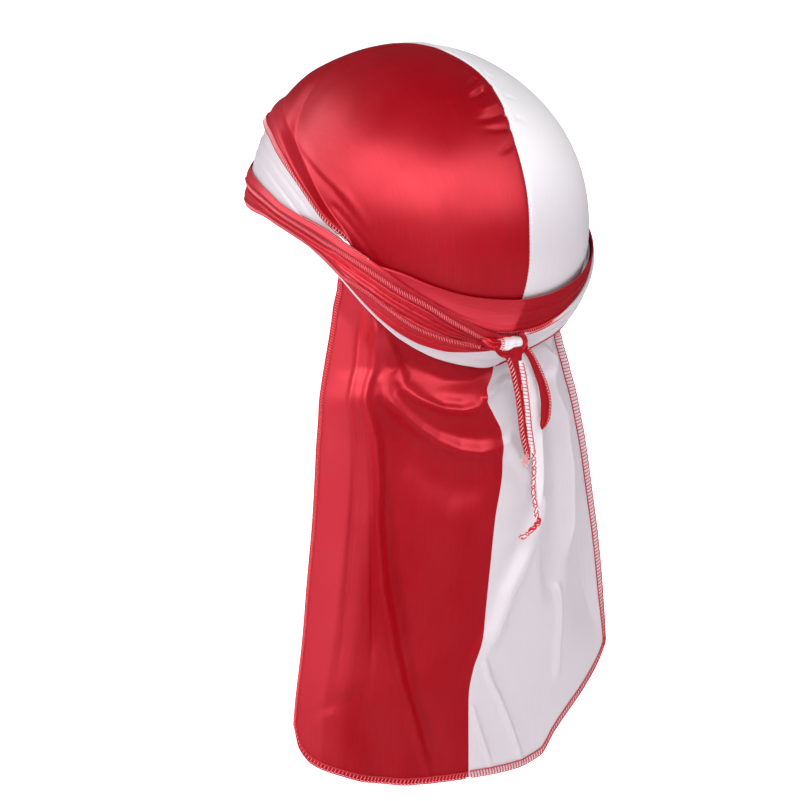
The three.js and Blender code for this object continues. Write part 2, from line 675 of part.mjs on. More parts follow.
const wrap = new THREE.Group();
wrap.add(crownPanel('crown_left', 1, red));
wrap.add(crownPanel('crown_right', -1, white));
wrap.add(tailPanel('tail_left', 1, red));
wrap.add(tailPanel('tail_right', -1, white));
wrap.add(strap('strap_left', redStrapRows, wayOf.red, red));
wrap.add(strap('strap_right', whiteStrapRows, wayOf.white, white));
wrap.add(knotCore());
wrap.add(knotWrap());
wrap.add(hangingEnd('end_red_flat', flatEndRows, flatEndLength, lobeRadius, red));
wrap.add(hangingEnd('end_red_rolled', rolledEndRows, rolledEndLength, knotWrapRadius, red));
wrap.add(hangingEnd('end_white', whiteEndRows, whiteEndLength, lobeRadius, white));

export default wrap;
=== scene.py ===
"""The looks of a two-tone satin head wrap in its tied form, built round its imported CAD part.

Metres, +Z up; the wearer faces -Y and the wearer's left is +X. A place on the wrap is given by
two angles in degrees: around, from the back (0) over the wearer's left (90) to the front (180),
and polar, from the top of the head.
"""

import math

import bmesh
import bpy
import numpy as np
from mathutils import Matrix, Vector


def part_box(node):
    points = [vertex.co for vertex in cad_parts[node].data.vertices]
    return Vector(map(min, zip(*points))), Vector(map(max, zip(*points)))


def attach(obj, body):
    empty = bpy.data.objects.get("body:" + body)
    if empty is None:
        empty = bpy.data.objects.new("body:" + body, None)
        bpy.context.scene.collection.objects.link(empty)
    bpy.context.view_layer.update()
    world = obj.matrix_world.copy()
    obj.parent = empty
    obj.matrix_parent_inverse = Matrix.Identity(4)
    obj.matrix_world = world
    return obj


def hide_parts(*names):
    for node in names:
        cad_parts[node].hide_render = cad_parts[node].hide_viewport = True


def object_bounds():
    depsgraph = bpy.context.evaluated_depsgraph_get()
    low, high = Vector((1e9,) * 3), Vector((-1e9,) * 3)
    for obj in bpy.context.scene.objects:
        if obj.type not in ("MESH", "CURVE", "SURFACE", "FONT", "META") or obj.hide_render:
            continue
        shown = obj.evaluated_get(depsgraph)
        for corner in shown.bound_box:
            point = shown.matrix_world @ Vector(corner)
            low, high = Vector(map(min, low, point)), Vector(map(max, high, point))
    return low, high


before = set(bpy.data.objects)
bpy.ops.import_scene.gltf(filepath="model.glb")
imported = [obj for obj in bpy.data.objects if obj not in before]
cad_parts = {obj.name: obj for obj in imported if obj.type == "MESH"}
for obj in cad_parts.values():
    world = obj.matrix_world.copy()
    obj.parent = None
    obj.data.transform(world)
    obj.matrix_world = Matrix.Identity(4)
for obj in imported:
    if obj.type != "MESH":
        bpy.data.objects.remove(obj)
cad_low, cad_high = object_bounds()

# The camera stands behind the wearer's left shoulder, a little above the head.


def linked(name, data):
    """A new object with that data, in the scene."""
    made = bpy.data.objects.new(name, data)
    bpy.context.scene.collection.objects.link(made)
    return made


camera_data = bpy.data.cameras.new("camera")
camera_data.sensor_width = 36.0
camera_data.lens = 140.72
camera = linked("camera", camera_data)
camera.location = (0.92617, 1.27476, 0.27784)
yaw, pitch = math.radians(35.657), math.radians(13.245)
looking = Vector((-math.sin(yaw) * math.cos(pitch), -math.cos(yaw) * math.cos(pitch), -math.sin(pitch)))
camera.rotation_euler = looking.to_track_quat("-Z", "Y").to_euler()
bpy.context.scene.camera = camera
bpy.context.scene.view_settings.view_transform = "Standard"

# The crown's left half: one panel of red polyester satin, sewn to the white one along the
# middle and gathered at the temple, with its hem rolled up over the tie that crosses it.
# The helpers for reading tables, for the form of the head and for cloth start here.


def smooth(at, places, values):
    """A curve through the points (places, values) that never overshoots: a cubic between
    neighbours, whose slope at a point is the harmonic mean of the slopes on its two sides,
    or 0 where they differ in sign. Beyond the ends it stays level."""
    places, values = np.array(places, float), np.array(values, float)
    slope = np.diff(values) / np.diff(places)
    before, after = slope[:-1], slope[1:]
    total = np.where(before * after > 0, before + after, 1.0)
    middle = np.where(before * after > 0, 2 * before * after / total, 0.0)
    tangent = np.concatenate([slope[:1], middle, slope[-1:]])
    at = np.clip(at, places[0], places[-1])
    i = np.clip(np.searchsorted(places, at, side="right") - 1, 0, len(places) - 2)
    span = places[i + 1] - places[i]
    t = (at - places[i]) / span
    a, b, rise, fall = values[i], values[i + 1], tangent[i] * span, tangent[i + 1] * span
    return a + t * (rise + t * (3 * (b - a) - 2 * rise - fall + t * (2 * (a - b) + rise + fall)))


def ease(start, end, at):
    """From 0 at start to 1 at end, as 3 t squared less 2 t cubed."""
    t = np.clip((at - start) / (end - start), 0, 1)
    return t * t * (3 - 2 * t)


def bell(distance, width):
    """exp(-(distance / width) squared)."""
    return np.exp(-((distance / width) ** 2))


# Walls and gaps in metres, the width of most hems, and how many millimetres of cloth lie to a
# degree: on the crown, and across a tie.
CROWN_WALL = 0.0012
STRAP_WALL = 0.0010
CLOTH_GAP = 0.00045
CLOTH = 0.0006
HEM_WIDTH = 0.0026
DEGREE_MM = 1.6
TIE_DEGREE_MM = 1.55
HEAD_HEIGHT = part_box("crown_left")[1].z - CROWN_WALL
HEAD_WIDTH = HEAD_HEIGHT * 77 / 90
HEAD_DEPTH = HEAD_HEIGHT * 97 / 90


def on_head(around, polar, off):
    """A point off the head's form, an egg: half width x sin(polar) sin(around), half depth x
    sin(polar) cos(around), half height x cos(polar), each half axis longer by off. The depth
    is fuller at the forehead and narrower at the face and nape, the width narrower below."""
    turn, down = np.radians(around), np.radians(polar)
    front = (1 - np.cos(turn)) / 2
    depth = 1 + front * (0.09 * bell(polar - 58, 28) - 0.08 * ease(90, 140, polar))
    depth = depth - (1 - front) * 0.10 * ease(92, 132, polar)
    width = 1 - 0.04 * ease(95, 140, polar)
    x = (HEAD_WIDTH + off) * width * np.sin(down) * np.sin(turn)
    y = (HEAD_DEPTH + off) * depth * np.sin(down) * np.cos(turn)
    z = (HEAD_HEIGHT + off) * np.cos(down)
    return np.stack(np.broadcast_arrays(x, y, z), -1)


def layer_start(layer):
    """How far off the head the inner face of a layer of tie lies; layer 1 is next to the crown."""
    return CROWN_WALL + CLOTH_GAP + (layer - 1) * (STRAP_WALL + CLOTH_GAP)


def mesh_object(name, points, faces, uv=None, shade=None, sharp=50):
    """A smooth shaded object of points and faces, its faces outward. uv and shade hold one
    value per point: a place on the flat cloth in metres, and how much painted light is mixed into its colour there."""
    points, faces = np.asarray(points, float), np.asarray(faces, int)
    a, b, c = points[faces[:, 0]], points[faces[:, 1]], points[faces[:, 2]]
    d = points[faces[:, 3]]
    middle = points.mean(0)
    volume = np.einsum("ij,ij->i", a - middle, np.cross(b - middle, c - middle)).sum()
    volume += np.einsum("ij,ij->i", a - middle, np.cross(c - middle, d - middle)).sum()
    if volume < 0:
        faces = faces[:, ::-1]
    mesh = bpy.data.meshes.new(name)
    mesh.vertices.add(len(points))
    mesh.vertices.foreach_set("co", points.ravel())
    mesh.loops.add(faces.size)
    mesh.loops.foreach_set("vertex_index", faces.ravel())
    mesh.polygons.add(len(faces))
    mesh.polygons.foreach_set("loop_start", np.arange(0, faces.size, 4))
    mesh.update(calc_edges=True)
    mesh.polygons.foreach_set("use_smooth", np.ones(len(faces), bool))
    if uv is not None:
        layer = mesh.uv_layers.new(name="cloth")
        layer.data.foreach_set("uv", np.asarray(uv, float)[faces.ravel()].ravel())
    if shade is not None:
        mesh.attributes.new("shade", "FLOAT", "POINT").data.foreach_set("value", np.ravel(shade))
    welded = bmesh.new()
    welded.from_mesh(mesh)
    bmesh.ops.remove_doubles(welded, verts=welded.verts, dist=1e-6)
    welded.to_mesh(mesh)
    welded.free()
    mesh.set_sharp_from_angle(angle=math.radians(sharp))
    return linked(name, mesh)


def sheet_object(name, material, outer, inner, uv, shade=None):
    """Closes two matching grids of points, a cloth's outer and inner face, into one body with
    a wall of quads along each of its four edges, and gives it its material."""
    rows, columns = outer.shape[:2]
    number = np.arange(rows * columns).reshape(rows, columns)
    under = number + rows * columns

    def quads(p, q, r, s):
        """One face to each corner of the four grids, in that order."""
        return np.stack([p.ravel(), q.ravel(), r.ravel(), s.ravel()], -1)

    faces = [quads(number[:-1, :-1], number[:-1, 1:], number[1:, 1:], number[1:, :-1]),
             quads(under[:-1, :-1], under[1:, :-1], under[1:, 1:], under[:-1, 1:]),
             quads(number[:-1, 0], number[1:, 0], under[1:, 0], under[:-1, 0]),
             quads(number[1:, -1], number[:-1, -1], under[:-1, -1], under[1:, -1]),
             quads(number[0, 1:], number[0, :-1], under[0, :-1], under[0, 1:]),
             quads(number[-1, :-1], number[-1, 1:], under[-1, 1:], under[-1, :-1])]
    points = np.concatenate([outer.reshape(-1, 3), inner.reshape(-1, 3)])
    flat = np.concatenate([uv.reshape(-1, 2)] * 2)
    light = np.zeros(outer.shape[:2]) if shade is None else shade
    made = mesh_object(name, points, np.concatenate(faces), flat, np.concatenate([light.ravel()] * 2))
    made.data.materials.append(material)
    return made


def satin(name, colour, light, tint, rough, metallic, streak):
    """Woven satin: fine thread streaks that run along the cloth's second direction in colour
    and bump, a soft cloudiness, and a broad coloured gloss. The shade attribute mixes in painted light."""
    material = bpy.data.materials.new(name)
    material.use_nodes = True
    nodes, links = material.node_tree.nodes, material.node_tree.links
    shader = nodes["Principled BSDF"]
    shader.inputs["Metallic"].default_value = metallic
    shader.inputs["Specular IOR Level"].default_value = 0.72
    shader.inputs["Specular Tint"].default_value = (*tint, 1)
    place = nodes.new("ShaderNodeUVMap")
    place.uv_map = "cloth"

    def noise(scale, detail):
        """A noise of the flat place x scale."""
        mapping, texture = nodes.new("ShaderNodeMapping"), nodes.new("ShaderNodeTexNoise")
        mapping.inputs["Scale"].default_value = scale
        texture.inputs["Scale"].default_value = 1
        texture.inputs["Detail"].default_value = detail
        links.new(place.outputs["UV"], mapping.inputs["Vector"])
        links.new(mapping.outputs["Vector"], texture.inputs["Vector"])
        return texture.outputs["Fac"]

    def mix(factor, first, second):
        """first x (1 - factor) + second x factor, of colours."""
        node = nodes.new("ShaderNodeMix")
        node.data_type = "RGBA"
        for socket, value in ((0, factor), (6, first), (7, second)):
            if isinstance(value, bpy.types.NodeSocket):
                links.new(value, node.inputs[socket])
            else:
                node.inputs[socket].default_value = value
        return node.outputs[2]

    def spread(value, low, high, start, end):
        """Low to high drawn out to start to end, straight."""
        node = nodes.new("ShaderNodeMapRange")
        links.new(value, node.inputs["Value"])
        for key, number in (("From Min", low), ("From Max", high), ("To Min", start), ("To Max", end)):
            node.inputs[key].default_value = number
        return node.outputs["Result"]

    streaks = noise((1500, 55, 1), 3)
    clouds = noise((38, 26, 1), 2)
    # The point attribute shade mixes the light colour into the base: painted light and painted highlights.
    painted_light_node = nodes.new("ShaderNodeAttribute")
    painted_light_node.attribute_name = "shade"
    dark = tuple(streak * c for c in colour)
    body = mix(spread(streaks, 0.3, 0.7, 0, 1), (*dark, 1), (*colour, 1))
    body = mix(painted_light_node.outputs["Fac"], body, (*light, 1))
    links.new(body, shader.inputs["Base Color"])
    links.new(spread(clouds, 0.3, 0.7, rough - 0.05, rough + 0.06), shader.inputs["Roughness"])
    bump = nodes.new("ShaderNodeBump")
    bump.inputs["Strength"].default_value = 0.2
    bump.inputs["Distance"].default_value = 0.0001
    links.new(streaks, bump.inputs["Height"])
    links.new(bump.outputs["Normal"], shader.inputs["Normal"])
    return material


# light is the colour of painted light and painted highlights, mixed in by the shade attribute.
red_satin = satin("red_satin", colour=(0.51, 0.0020, 0.010), light=(0.92, 0.062, 0.092),
                  tint=(1.0, 0.80, 0.95), rough=0.35, metallic=0.40, streak=0.84)
white_satin = satin("white_satin", colour=(0.63, 0.575, 0.62), light=(0.96, 0.93, 0.96),
                    tint=(1.0, 0.97, 1.0), rough=0.42, metallic=0.10, streak=0.96)

RIM = dict(around=[0, 30, 42, 50, 57, 62, 67, 71, 75, 80, 87, 99, 114, 137, 150, 165, 180],
           polar=[108, 107, 105, 100.5, 97, 93, 87.0, 84.2, 81.4, 77.4, 72.4, 65.6, 60.6, 58.2, 59.5, 62.5, 65.5])
SEAM = dict(polar=[0, 26, 40, 56, 72, 88, 108], wander=[-10, -8, -4, 0.7, 2.0, 3.4, 3.6])

# Folds of the crown: a line of places (around, polar), a half width and a height in mm. The
# first ones lie along the rolled hem and run together at the temple, the others pull at the seam.
CROWN_FOLDS = [
    ([(118, 53.2), (108.5, 54.2), (94, 60.8), (83.7, 66.7), (74.7, 71.8), (67.1, 78.4),
      (61.5, 84.5), (57.2, 90.8)], 2.6, -0.5),
    ([(84, 62.5), (75.5, 68.8), (68.7, 73.4), (63.5, 79.5), (59.8, 85.8), (56.4, 90.4)], 3.2, 0.4),
    ([(73, 76), (66, 82), (60, 88), (57, 92)], 1.8, -0.4),
    ([(-1.3, 29.1), (14.5, 34.4)], 1.9, -1.6), ([(-2, 32.0), (17, 37.2)], 1.6, 1.2),
    ([(2, 35.5), (17.7, 39.1)], 1.7, -1.4), ([(-2, 41), (16, 43.5)], 1.8, 0.9),
    ([(-4.7, 44.6), (19.3, 47.6)], 1.7, -1.2), ([(-3.5, 50.6), (17.6, 50.4)], 1.5, -0.8),
    ([(0.2, 55.3), (11.6, 59.2)], 1.6, -0.6), ([(-2, 21), (12, 26)], 1.8, -0.6),
    ([(-12.7, 26.5), (-15.5, 32)], 0.8, -0.5), ([(-8.5, 38.3), (-18, 41.2)], 0.7, -0.6),
    ([(-6, 47), (-14, 49.5)], 1.4, -0.4), ([(-4, 33.5), (-12, 36)], 1.4, 0.4),
]


def line_distance(x, y, line):
    """(distance, share along) from each place (x, y) to the nearest point of a broken line."""
    nearest, along = np.full(np.shape(x), 1e9), np.zeros(np.shape(x))
    steps = [math.dist(a, b) for a, b in zip(line[:-1], line[1:])]
    done, total = 0.0, sum(steps)
    for (ax, ay), (bx, by), step in zip(line[:-1], line[1:], steps):
        t = np.clip(((x - ax) * (bx - ax) + (y - ay) * (by - ay)) / step ** 2, 0, 1)
        away = np.hypot(x - ax - t * (bx - ax), y - ay - t * (by - ay))
        along = np.where(away < nearest, (done + t * step) / total, along)
        nearest = np.minimum(nearest, away)
        done += step
    return nearest, along


def crown_folds(around, polar):
    """The sum over the folds of height x bell(distance, half width), each one fading at its
    ends. Distances are taken in mm on the head, at DEGREE_MM."""
    lift = np.zeros(np.broadcast(around, polar).shape)
    squeeze = np.sin(np.radians(np.maximum(polar, 8)))
    for line, width, height in CROWN_FOLDS:
        middle = math.sin(math.radians(sum(p for _, p in line) / len(line)))
        flat = [(DEGREE_MM * middle * a, DEGREE_MM * p) for a, p in line]
        x = DEGREE_MM * (0.5 * middle + 0.5 * squeeze) * around
        away, along = line_distance(x, DEGREE_MM * polar, flat)
        fade = ease(0, 0.12, along) * (1 - ease(0.45 if len(line) == 2 else 0.97, 1, along))
        lift = lift + 0.001 * height * bell(away, width) * fade
    return lift


def crown_lift(around, polar):
    """How far the crown stands off the head: over the layers of tie below its hem, plus a roll
    of sin(pi x share back from the rim), a soft puff behind it, the hem's edge turned out at
    the temple, and the seam's shallow groove."""
    side = np.abs(around)
    rim = smooth(side, RIM["around"], RIM["polar"])
    width = np.maximum(8.5 * np.sqrt(np.clip((side - 64) / 60, 0, 1)), 1e-6)
    gathered = side > 64.01
    back = (rim - polar) / width
    over_red = np.where(around < 0, 1, ease(140, 158, around))
    over = layer_start(2) + (layer_start(3) - layer_start(2)) * over_red
    standing = over * ease(64, 76, side) * (1 - ease(0.45, 1 + 3.2 * ease(95, 125, side), back))
    high = 0.0022 - 0.0008 * ease(105, 140, side)
    roll = np.where(back < 1, high * (width / 8.5) * np.sin(np.pi * np.clip(back, 0, 1)), 0)
    puff = (0.0004 + 0.0012 * ease(100, 125, side)) * ease(0.9, 2.6, back) * (1 - ease(3.5, 8, back))
    puff = puff * ease(72, 100, side)
    turned = 0.0020 * (1 - ease(0, 0.34, back)) * ease(86, 98, side) * (1 - ease(130, 148, side))
    seam = smooth(polar, SEAM["polar"], SEAM["wander"])
    off_seam = DEGREE_MM * np.sin(np.radians(polar)) * (around - seam)
    groove = -0.0005 * bell(off_seam, 0.9) * ease(6, 14, polar)
    swell = np.sin(np.radians(around * 3.1 + 40)) * np.sin(np.radians(polar * 4.3))
    low = groove + 0.0005 * swell * ease(10, 40, polar) + crown_folds(around, polar)
    return np.where(gathered, standing + roll + puff + turned, 0) + low


def crown_panel(side, rows=170, columns=210):
    """A crown panel's outer and inner face and its flat places: around runs from the seam at
    the back to the seam at the front, polar from the top to the rim, closer near the rim."""
    down = 1 - (1 - np.linspace(0, 1, rows)[:, None]) ** 1.25
    share = np.linspace(0, 1, columns)[None, :]
    start = smooth(down * RIM["polar"][0], SEAM["polar"], SEAM["wander"])
    end = 180 + SEAM["wander"][0] * (1 - ease(0, 60, down * RIM["polar"][-1]))
    end = end - (0 if side > 0 else 360)
    around = start + (end - start) * share
    polar = down * smooth(np.abs(around), RIM["around"], RIM["polar"])
    lift = crown_lift(around, polar)
    outer = on_head(around, polar, lift + CROWN_WALL)
    inner = on_head(around, polar, lift + CROWN_WALL - CLOTH)
    uv = np.stack([HEAD_WIDTH * np.arcsin(np.clip(outer[..., 0] / (HEAD_WIDTH * 1.12), -1, 1)),
                   HEAD_DEPTH * np.arctan2(outer[..., 2], outer[..., 1])], -1)
    uv[..., 1] = np.where(uv[..., 1] < -0.2, uv[..., 1] + 2 * np.pi * HEAD_DEPTH, uv[..., 1])
    return outer, inner, uv, around, polar


def crown_painted_light(around, polar):
    """Painted light on the roll along the hem: lighter within about 7 to 14 degrees of the rim, from 75 to 90 degrees
    around onwards.
    """
    side = np.abs(around)
    back = smooth(side, RIM["around"], RIM["polar"]) - polar
    return 0.35 * (1 - ease(7, 14, back)) * ease(75, 90, side)


red_crown = crown_panel(1)
# Its roll along the hem carries painted light.
crown_left = sheet_object("satin_crown_left", red_satin, *red_crown[:3], crown_painted_light(*red_crown[3:]))
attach(crown_left, "root")
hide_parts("crown_left")

# The middle seam of the crown: a row of small dark red stitches sunk in its groove, from the
# nape over the top to the forehead. The helpers for threads and hems start here.


def thread(name, colour):
    """Spun thread: matt, of one colour, with a faint sheen."""
    material = bpy.data.materials.new(name)
    material.use_nodes = True
    shader = material.node_tree.nodes["Principled BSDF"]
    shader.inputs["Base Color"].default_value = (*colour, 1)
    shader.inputs["Roughness"].default_value = 0.62
    shader.inputs["Sheen Weight"].default_value = 0.06
    return material


red_thread = thread("red_thread", (0.56, 0.010, 0.022))
dark_thread = thread("dark_red_thread", (0.33, 0.008, 0.02))
light_thread = thread("light_red_thread", (0.80, 0.09, 0.12))
pink_thread = thread("pink_thread", (0.80, 0.42, 0.44))
white_thread = thread("white_thread", (0.86, 0.78, 0.80))


def unit(vectors):
    """Each vector over its own length."""
    return vectors / np.maximum(np.linalg.norm(vectors, axis=-1, keepdims=True), 1e-12)


def tubes(name, paths, radius, material, sides=4):
    """Threads along many paths at once, given as (threads, points, 3): round each point stands
    a ring, point + radius (cos t across + sin t up), square to the path; quads join the rings
    and close both ends."""
    paths = np.asarray(paths, float)
    ahead = unit(np.gradient(paths, axis=1))
    mean = np.abs(ahead.mean(1))
    up = np.eye(3)[np.argmin(mean, -1)][:, None, :]
    across = unit(np.cross(ahead, up))
    up = np.cross(across, ahead)
    angle = (np.arange(sides) + 0.5) * 2 * np.pi / sides
    size = np.broadcast_to(np.asarray(radius, float), paths.shape[:2])[:, :, None, None]
    ring = np.cos(angle)[:, None] * across[:, :, None] + np.sin(angle)[:, None] * up[:, :, None]
    points = paths[:, :, None] + size * ring
    number = np.arange(points.size // 3).reshape(points.shape[:3])
    turned = np.roll(number, -1, axis=2)
    faces = [np.stack([number[:, :-1], turned[:, :-1], turned[:, 1:], number[:, 1:]], -1).reshape(-1, 4)]
    for end, way in ((0, -1), (-1, 1)):
        for first in range(0, sides - 2, 2):
            picks = [0, first + 1, first + 2, (first + 3) % sides][::way]
            faces.append(number[:, end][:, picks].reshape(-1, 4))
    made = mesh_object(name, points.reshape(-1, 3), np.concatenate(faces), sharp=180)
    made.data.materials.append(material)
    return made


def hem_lines(lines, width):
    """For lines that run from a cloth's edge inwards, given as (stations, points, 3): the edge,
    the place that far in, and the outward normal, away from the wrap's middle."""
    step = np.linalg.norm(np.diff(lines, axis=1), axis=-1)
    run = np.concatenate([np.zeros((len(lines), 1)), np.cumsum(step, 1)], 1)
    k = np.clip((run < width).sum(1) - 1, 0, lines.shape[1] - 2)
    rows = np.arange(len(lines))
    t = ((width - run[rows, k]) / np.maximum(step[rows, k], 1e-9))[:, None]
    inner = lines[rows, k] + t * (lines[rows, k + 1] - lines[rows, k])
    edge = lines[:, 0]
    out = unit(np.cross(np.gradient(edge, axis=0), inner - edge))
    facing = np.sum(out * edge * [1, 1, 0.5], -1, keepdims=True)
    return edge, inner, out * np.sign(facing)


def evenly(line, pitch, *others):
    """The same line and others resampled at an even pitch along the first."""
    run = np.concatenate([[0], np.cumsum(np.linalg.norm(np.diff(line, axis=0), axis=-1))])
    places = np.arange(0.5 * pitch, run[-1], pitch)
    index = np.interp(places, run, np.arange(len(line)))
    low = np.minimum(index.astype(int), len(line) - 2)
    t = (index - low)[:, None]
    return [each[low] + t * (each[low + 1] - each[low]) for each in (line, *others)]


def overlock(name, lines, rung, rail, pitch=0.0018, slant=0.5, thick=0.00021):
    """Overlock stitches on a hem: each rung is a thread from the inner line over the cloth to
    the edge and round it; a chain lies along the inner line and a looser one along the edge.
    Returns the rungs and the two rails as two objects."""
    edge, inner, out = evenly(lines[0], pitch, lines[1], lines[2])
    nxt = np.minimum(np.arange(len(edge)) + 1, len(edge) - 1)
    hop = edge[nxt] - edge
    away = unit(edge - inner)
    reach = edge - inner
    start = inner + 0.00012 * out
    low = start + 0.33 * reach + slant * 0.3 * hop + 0.00022 * out
    high = start + 0.72 * reach + slant * 0.7 * hop + 0.00022 * out
    tip = edge + slant * hop + 0.00022 * away + 0.00005 * out
    back = edge + slant * hop + 0.00005 * away - 0.0006 * out
    rungs = tubes(name + "_rungs", np.stack([start, low, high, tip, back], 1), thick, rung)
    chain = np.stack([start + 0.0001 * out - 0.12 * hop, start + 0.5 * hop + 0.0003 * out,
                      start + 0.92 * hop + 0.0001 * out], 1)
    outer = np.stack([tip - 0.06 * hop + 0.00008 * out, tip + 0.5 * hop + 0.00024 * away + 0.00012 * out,
                      tip + 1.06 * hop + 0.00008 * out], 1)
    rails = tubes(name + "_rails", np.concatenate([chain[:-1], outer[:-1]]), 1.15 * thick, rail)
    for piece, slot in ((rungs, rung), (rails, rail)):
        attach(piece, "root")
    return [rungs, rails]


outer = red_crown[0]
seam_line = np.concatenate([outer[::-1, 0], outer[1:, -1]])
seam_out = unit(seam_line)
seam_line, seam_out = evenly(seam_line, 0.0019, seam_out)
seam_step = 0.3 * np.gradient(seam_line, axis=0)
seam_side = np.array([0.00028, 0, 0])
seam_stitches = tubes("crown_seam_stitches", np.stack([
    seam_line - seam_step - 0.0001 * seam_out + seam_side, seam_line + 0.00022 * seam_out + seam_side,
    seam_line + seam_step - 0.0001 * seam_out + seam_side], 1), 0.00022, dark_thread)
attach(seam_stitches, "root")

# The crown's rolled hem: overlock stitches along its edge, where it shows above the ties.
rim_lines = outer[::-1][:40].transpose(1, 0, 2)
shown = (np.abs(red_crown[3][-1]) > 66) & (np.abs(red_crown[3][-1]) < 176)
crown_hem = overlock("crown_hem_left", hem_lines(rim_lines[shown], HEM_WIDTH), pink_thread, red_thread)

# The crown's right half: the same panel mirrored, of white satin.
white_crown = crown_panel(-1)
# Painted light: the white crown is painted lighter over its top, fading out between 50 and 92 degrees down.
crown_right = sheet_object("satin_crown_right", white_satin, *white_crown[:3], 1.0 - ease(50, 92, white_crown[4]))
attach(crown_right, "root")
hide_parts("crown_right")

# The ties: two long ribbons of the same satin, sewn on at the temples. Each runs back, crosses
# the nape, comes round over the forehead and lies folded in pleats down to the knot.
RED_TIE = [
    (-63, 92, 96, 2, 0), (-48, 95.3, 105, 2, 0), (-38, 98.9, 106.2, 2, 0), (-25, 102.4, 112.6, 2, 0),
    (-14, 103.9, 116.5, 2, 0), (-4, 104.6, 117.6, 2, 0), (6, 104.2, 117.1, 2, 0), (18, 102.6, 114.8, 2, 0),
    (30, 99.8, 111.2, 2, 0), (45, 95.5, 106, 2, 0), (60, 90.8, 100.4, 2, 0), (67, 87.6, 97.5, 2, 0),
    (77, 79.8, 93, 2, 0), (87, 71.6, 87, 2, 0), (99, 64.4, 81.5, 2, 0), (114, 59.4, 77.5, 2, 0),
    (133, 57.5, 78.2, 2, 0), (150, 58.2, 79, 2, 0), (165, 60.8, 80, 2, 0), (180, 64, 82, 2, 0.3),
    (195, 69, 84.5, 2, 0.8), (210, 73, 86, 2, 0.9), (227, 74.2, 85.7, 2, 0.9), (240, 74.8, 85, 2, 0.9),
    (254, 76.8, 84.8, 2, 0.9), (266, 79.8, 86.4, 2, 0.9), (277, 82.1, 89.2, 2, 0.9), (285, 84, 92.6, 2.4, 0.9),
    (289, 85.3, 95.2, 2.8, 0.9), (294, 87.6, 99.6, 3, 1), (300, 90.5, 105.5, 3, 1), (306, 93.9, 111, 3, 0.9),
    (313, 98.3, 115.9, 3, 0.9), (321, 102.8, 119.7, 3, 0.9), (333, 109.2, 122.4, 3, 0.9),
    (346, 114.9, 122.8, 3, 0.8), (351, 116.2, 121.6, 3.6, 0.5), (356, 116.6, 120.4, 4.6, 0.3),
]
WHITE_TIE = [
    (-63, 92, 97, 1, 0), (-45, 97.5, 112, 1, 0), (-30, 103, 122.6, 1, 0), (-18, 107, 127, 1, 0),
    (-5, 111, 131, 1, 0), (7, 113.5, 132.2, 1, 0), (17, 114, 130.6, 1, 0), (25, 113.3, 128.8, 1, 0),
    (34, 110.8, 126, 1, 0), (48, 104, 118.6, 1, 0), (55, 99.6, 112.8, 1, 0), (62, 93.4, 106, 1, 0),
    (67, 88.1, 101, 1, 0), (72, 84.1, 96.8, 1, 0), (77, 79.6, 93.4, 1, 0), (87, 71.2, 87.4, 1, 0),
    (99, 64.2, 83, 1, 0), (114, 59.4, 79.5, 1, 0), (133, 57.5, 77.5, 1, 0), (150, 58.2, 77, 1, 0),
    (165, 60.8, 79, 1, 0), (180, 64, 82, 1, 0), (193, 70.5, 85, 1, 0), (202, 75.5, 86.5, 1, 0),
    (216, 76.5, 87, 3, 0.6), (227, 75.8, 86.5, 3, 0.9), (245, 76.6, 86, 3, 0.9), (261, 79, 87.5, 3, 0.9),
    (277, 83.6, 91, 3, 0.9), (294, 90, 100.5, 3, 1), (306, 96.5, 108.5, 3, 1.1), (319, 104.5, 116, 3, 1),
    (330, 109.3, 121, 3, 0.7), (341, 113.2, 122.8, 3, 0.4), (350, 116, 124.4, 3, 0.3), (358, 116.6, 122.4, 3, 0.3),
]

# Lengthwise creases: half width and height in mm, the turns and, at each, the share across
# from the upper edge. A crease is a narrow valley with a rounded lip below it.
RED_CREASES = [
    (0.6, 0.8, [232, 254, 277, 285, 293, 302, 311, 321, 328, 336, 346],
     [0.5, 0.56, 0.58, 0.56, 0.39, 0.29, 0.24, 0.2, 0.24, 0.3, 0.51]),
    (0.6, 0.8, [244, 277, 294, 306, 319, 333, 351], [0.8, 0.78, 0.53, 0.4, 0.35, 0.385, 0.57]),
    (0.5, 0.6, [290, 306, 319, 333, 351], [0.67, 0.5, 0.455, 0.475, 0.65]),
    (0.55, 0.75, [292, 306, 319, 333, 351], [0.76, 0.585, 0.56, 0.57, 0.72]),
    (0.5, 0.6, [298, 306, 319, 333, 351], [0.9, 0.84, 0.8, 0.8, 0.88]),
    (0.9, 0.5, [-40, -14, 6, 30, 60], [0.75, 0.7, 0.72, 0.66, 0.5]),
    (0.8, 0.4, [-30, -4, 18, 45], [0.35, 0.3, 0.36, 0.3]),
]
WHITE_CREASES = [
    (1.4, 0.3, [80, 99, 133, 165], [0.3, 0.34, 0.3, 0.4]),
    (1.2, 0.25, [72, 92, 125, 160], [0.6, 0.56, 0.52, 0.6]),
    (0.9, 0.3, [-10, 17, 48, 67], [0.86, 0.8, 0.72, 0.7]),
    (0.6, 0.6, [225, 277, 306, 330], [0.4, 0.45, 0.35, 0.3]),
    (0.6, 0.6, [240, 294, 319, 345], [0.7, 0.7, 0.6, 0.6]),
]


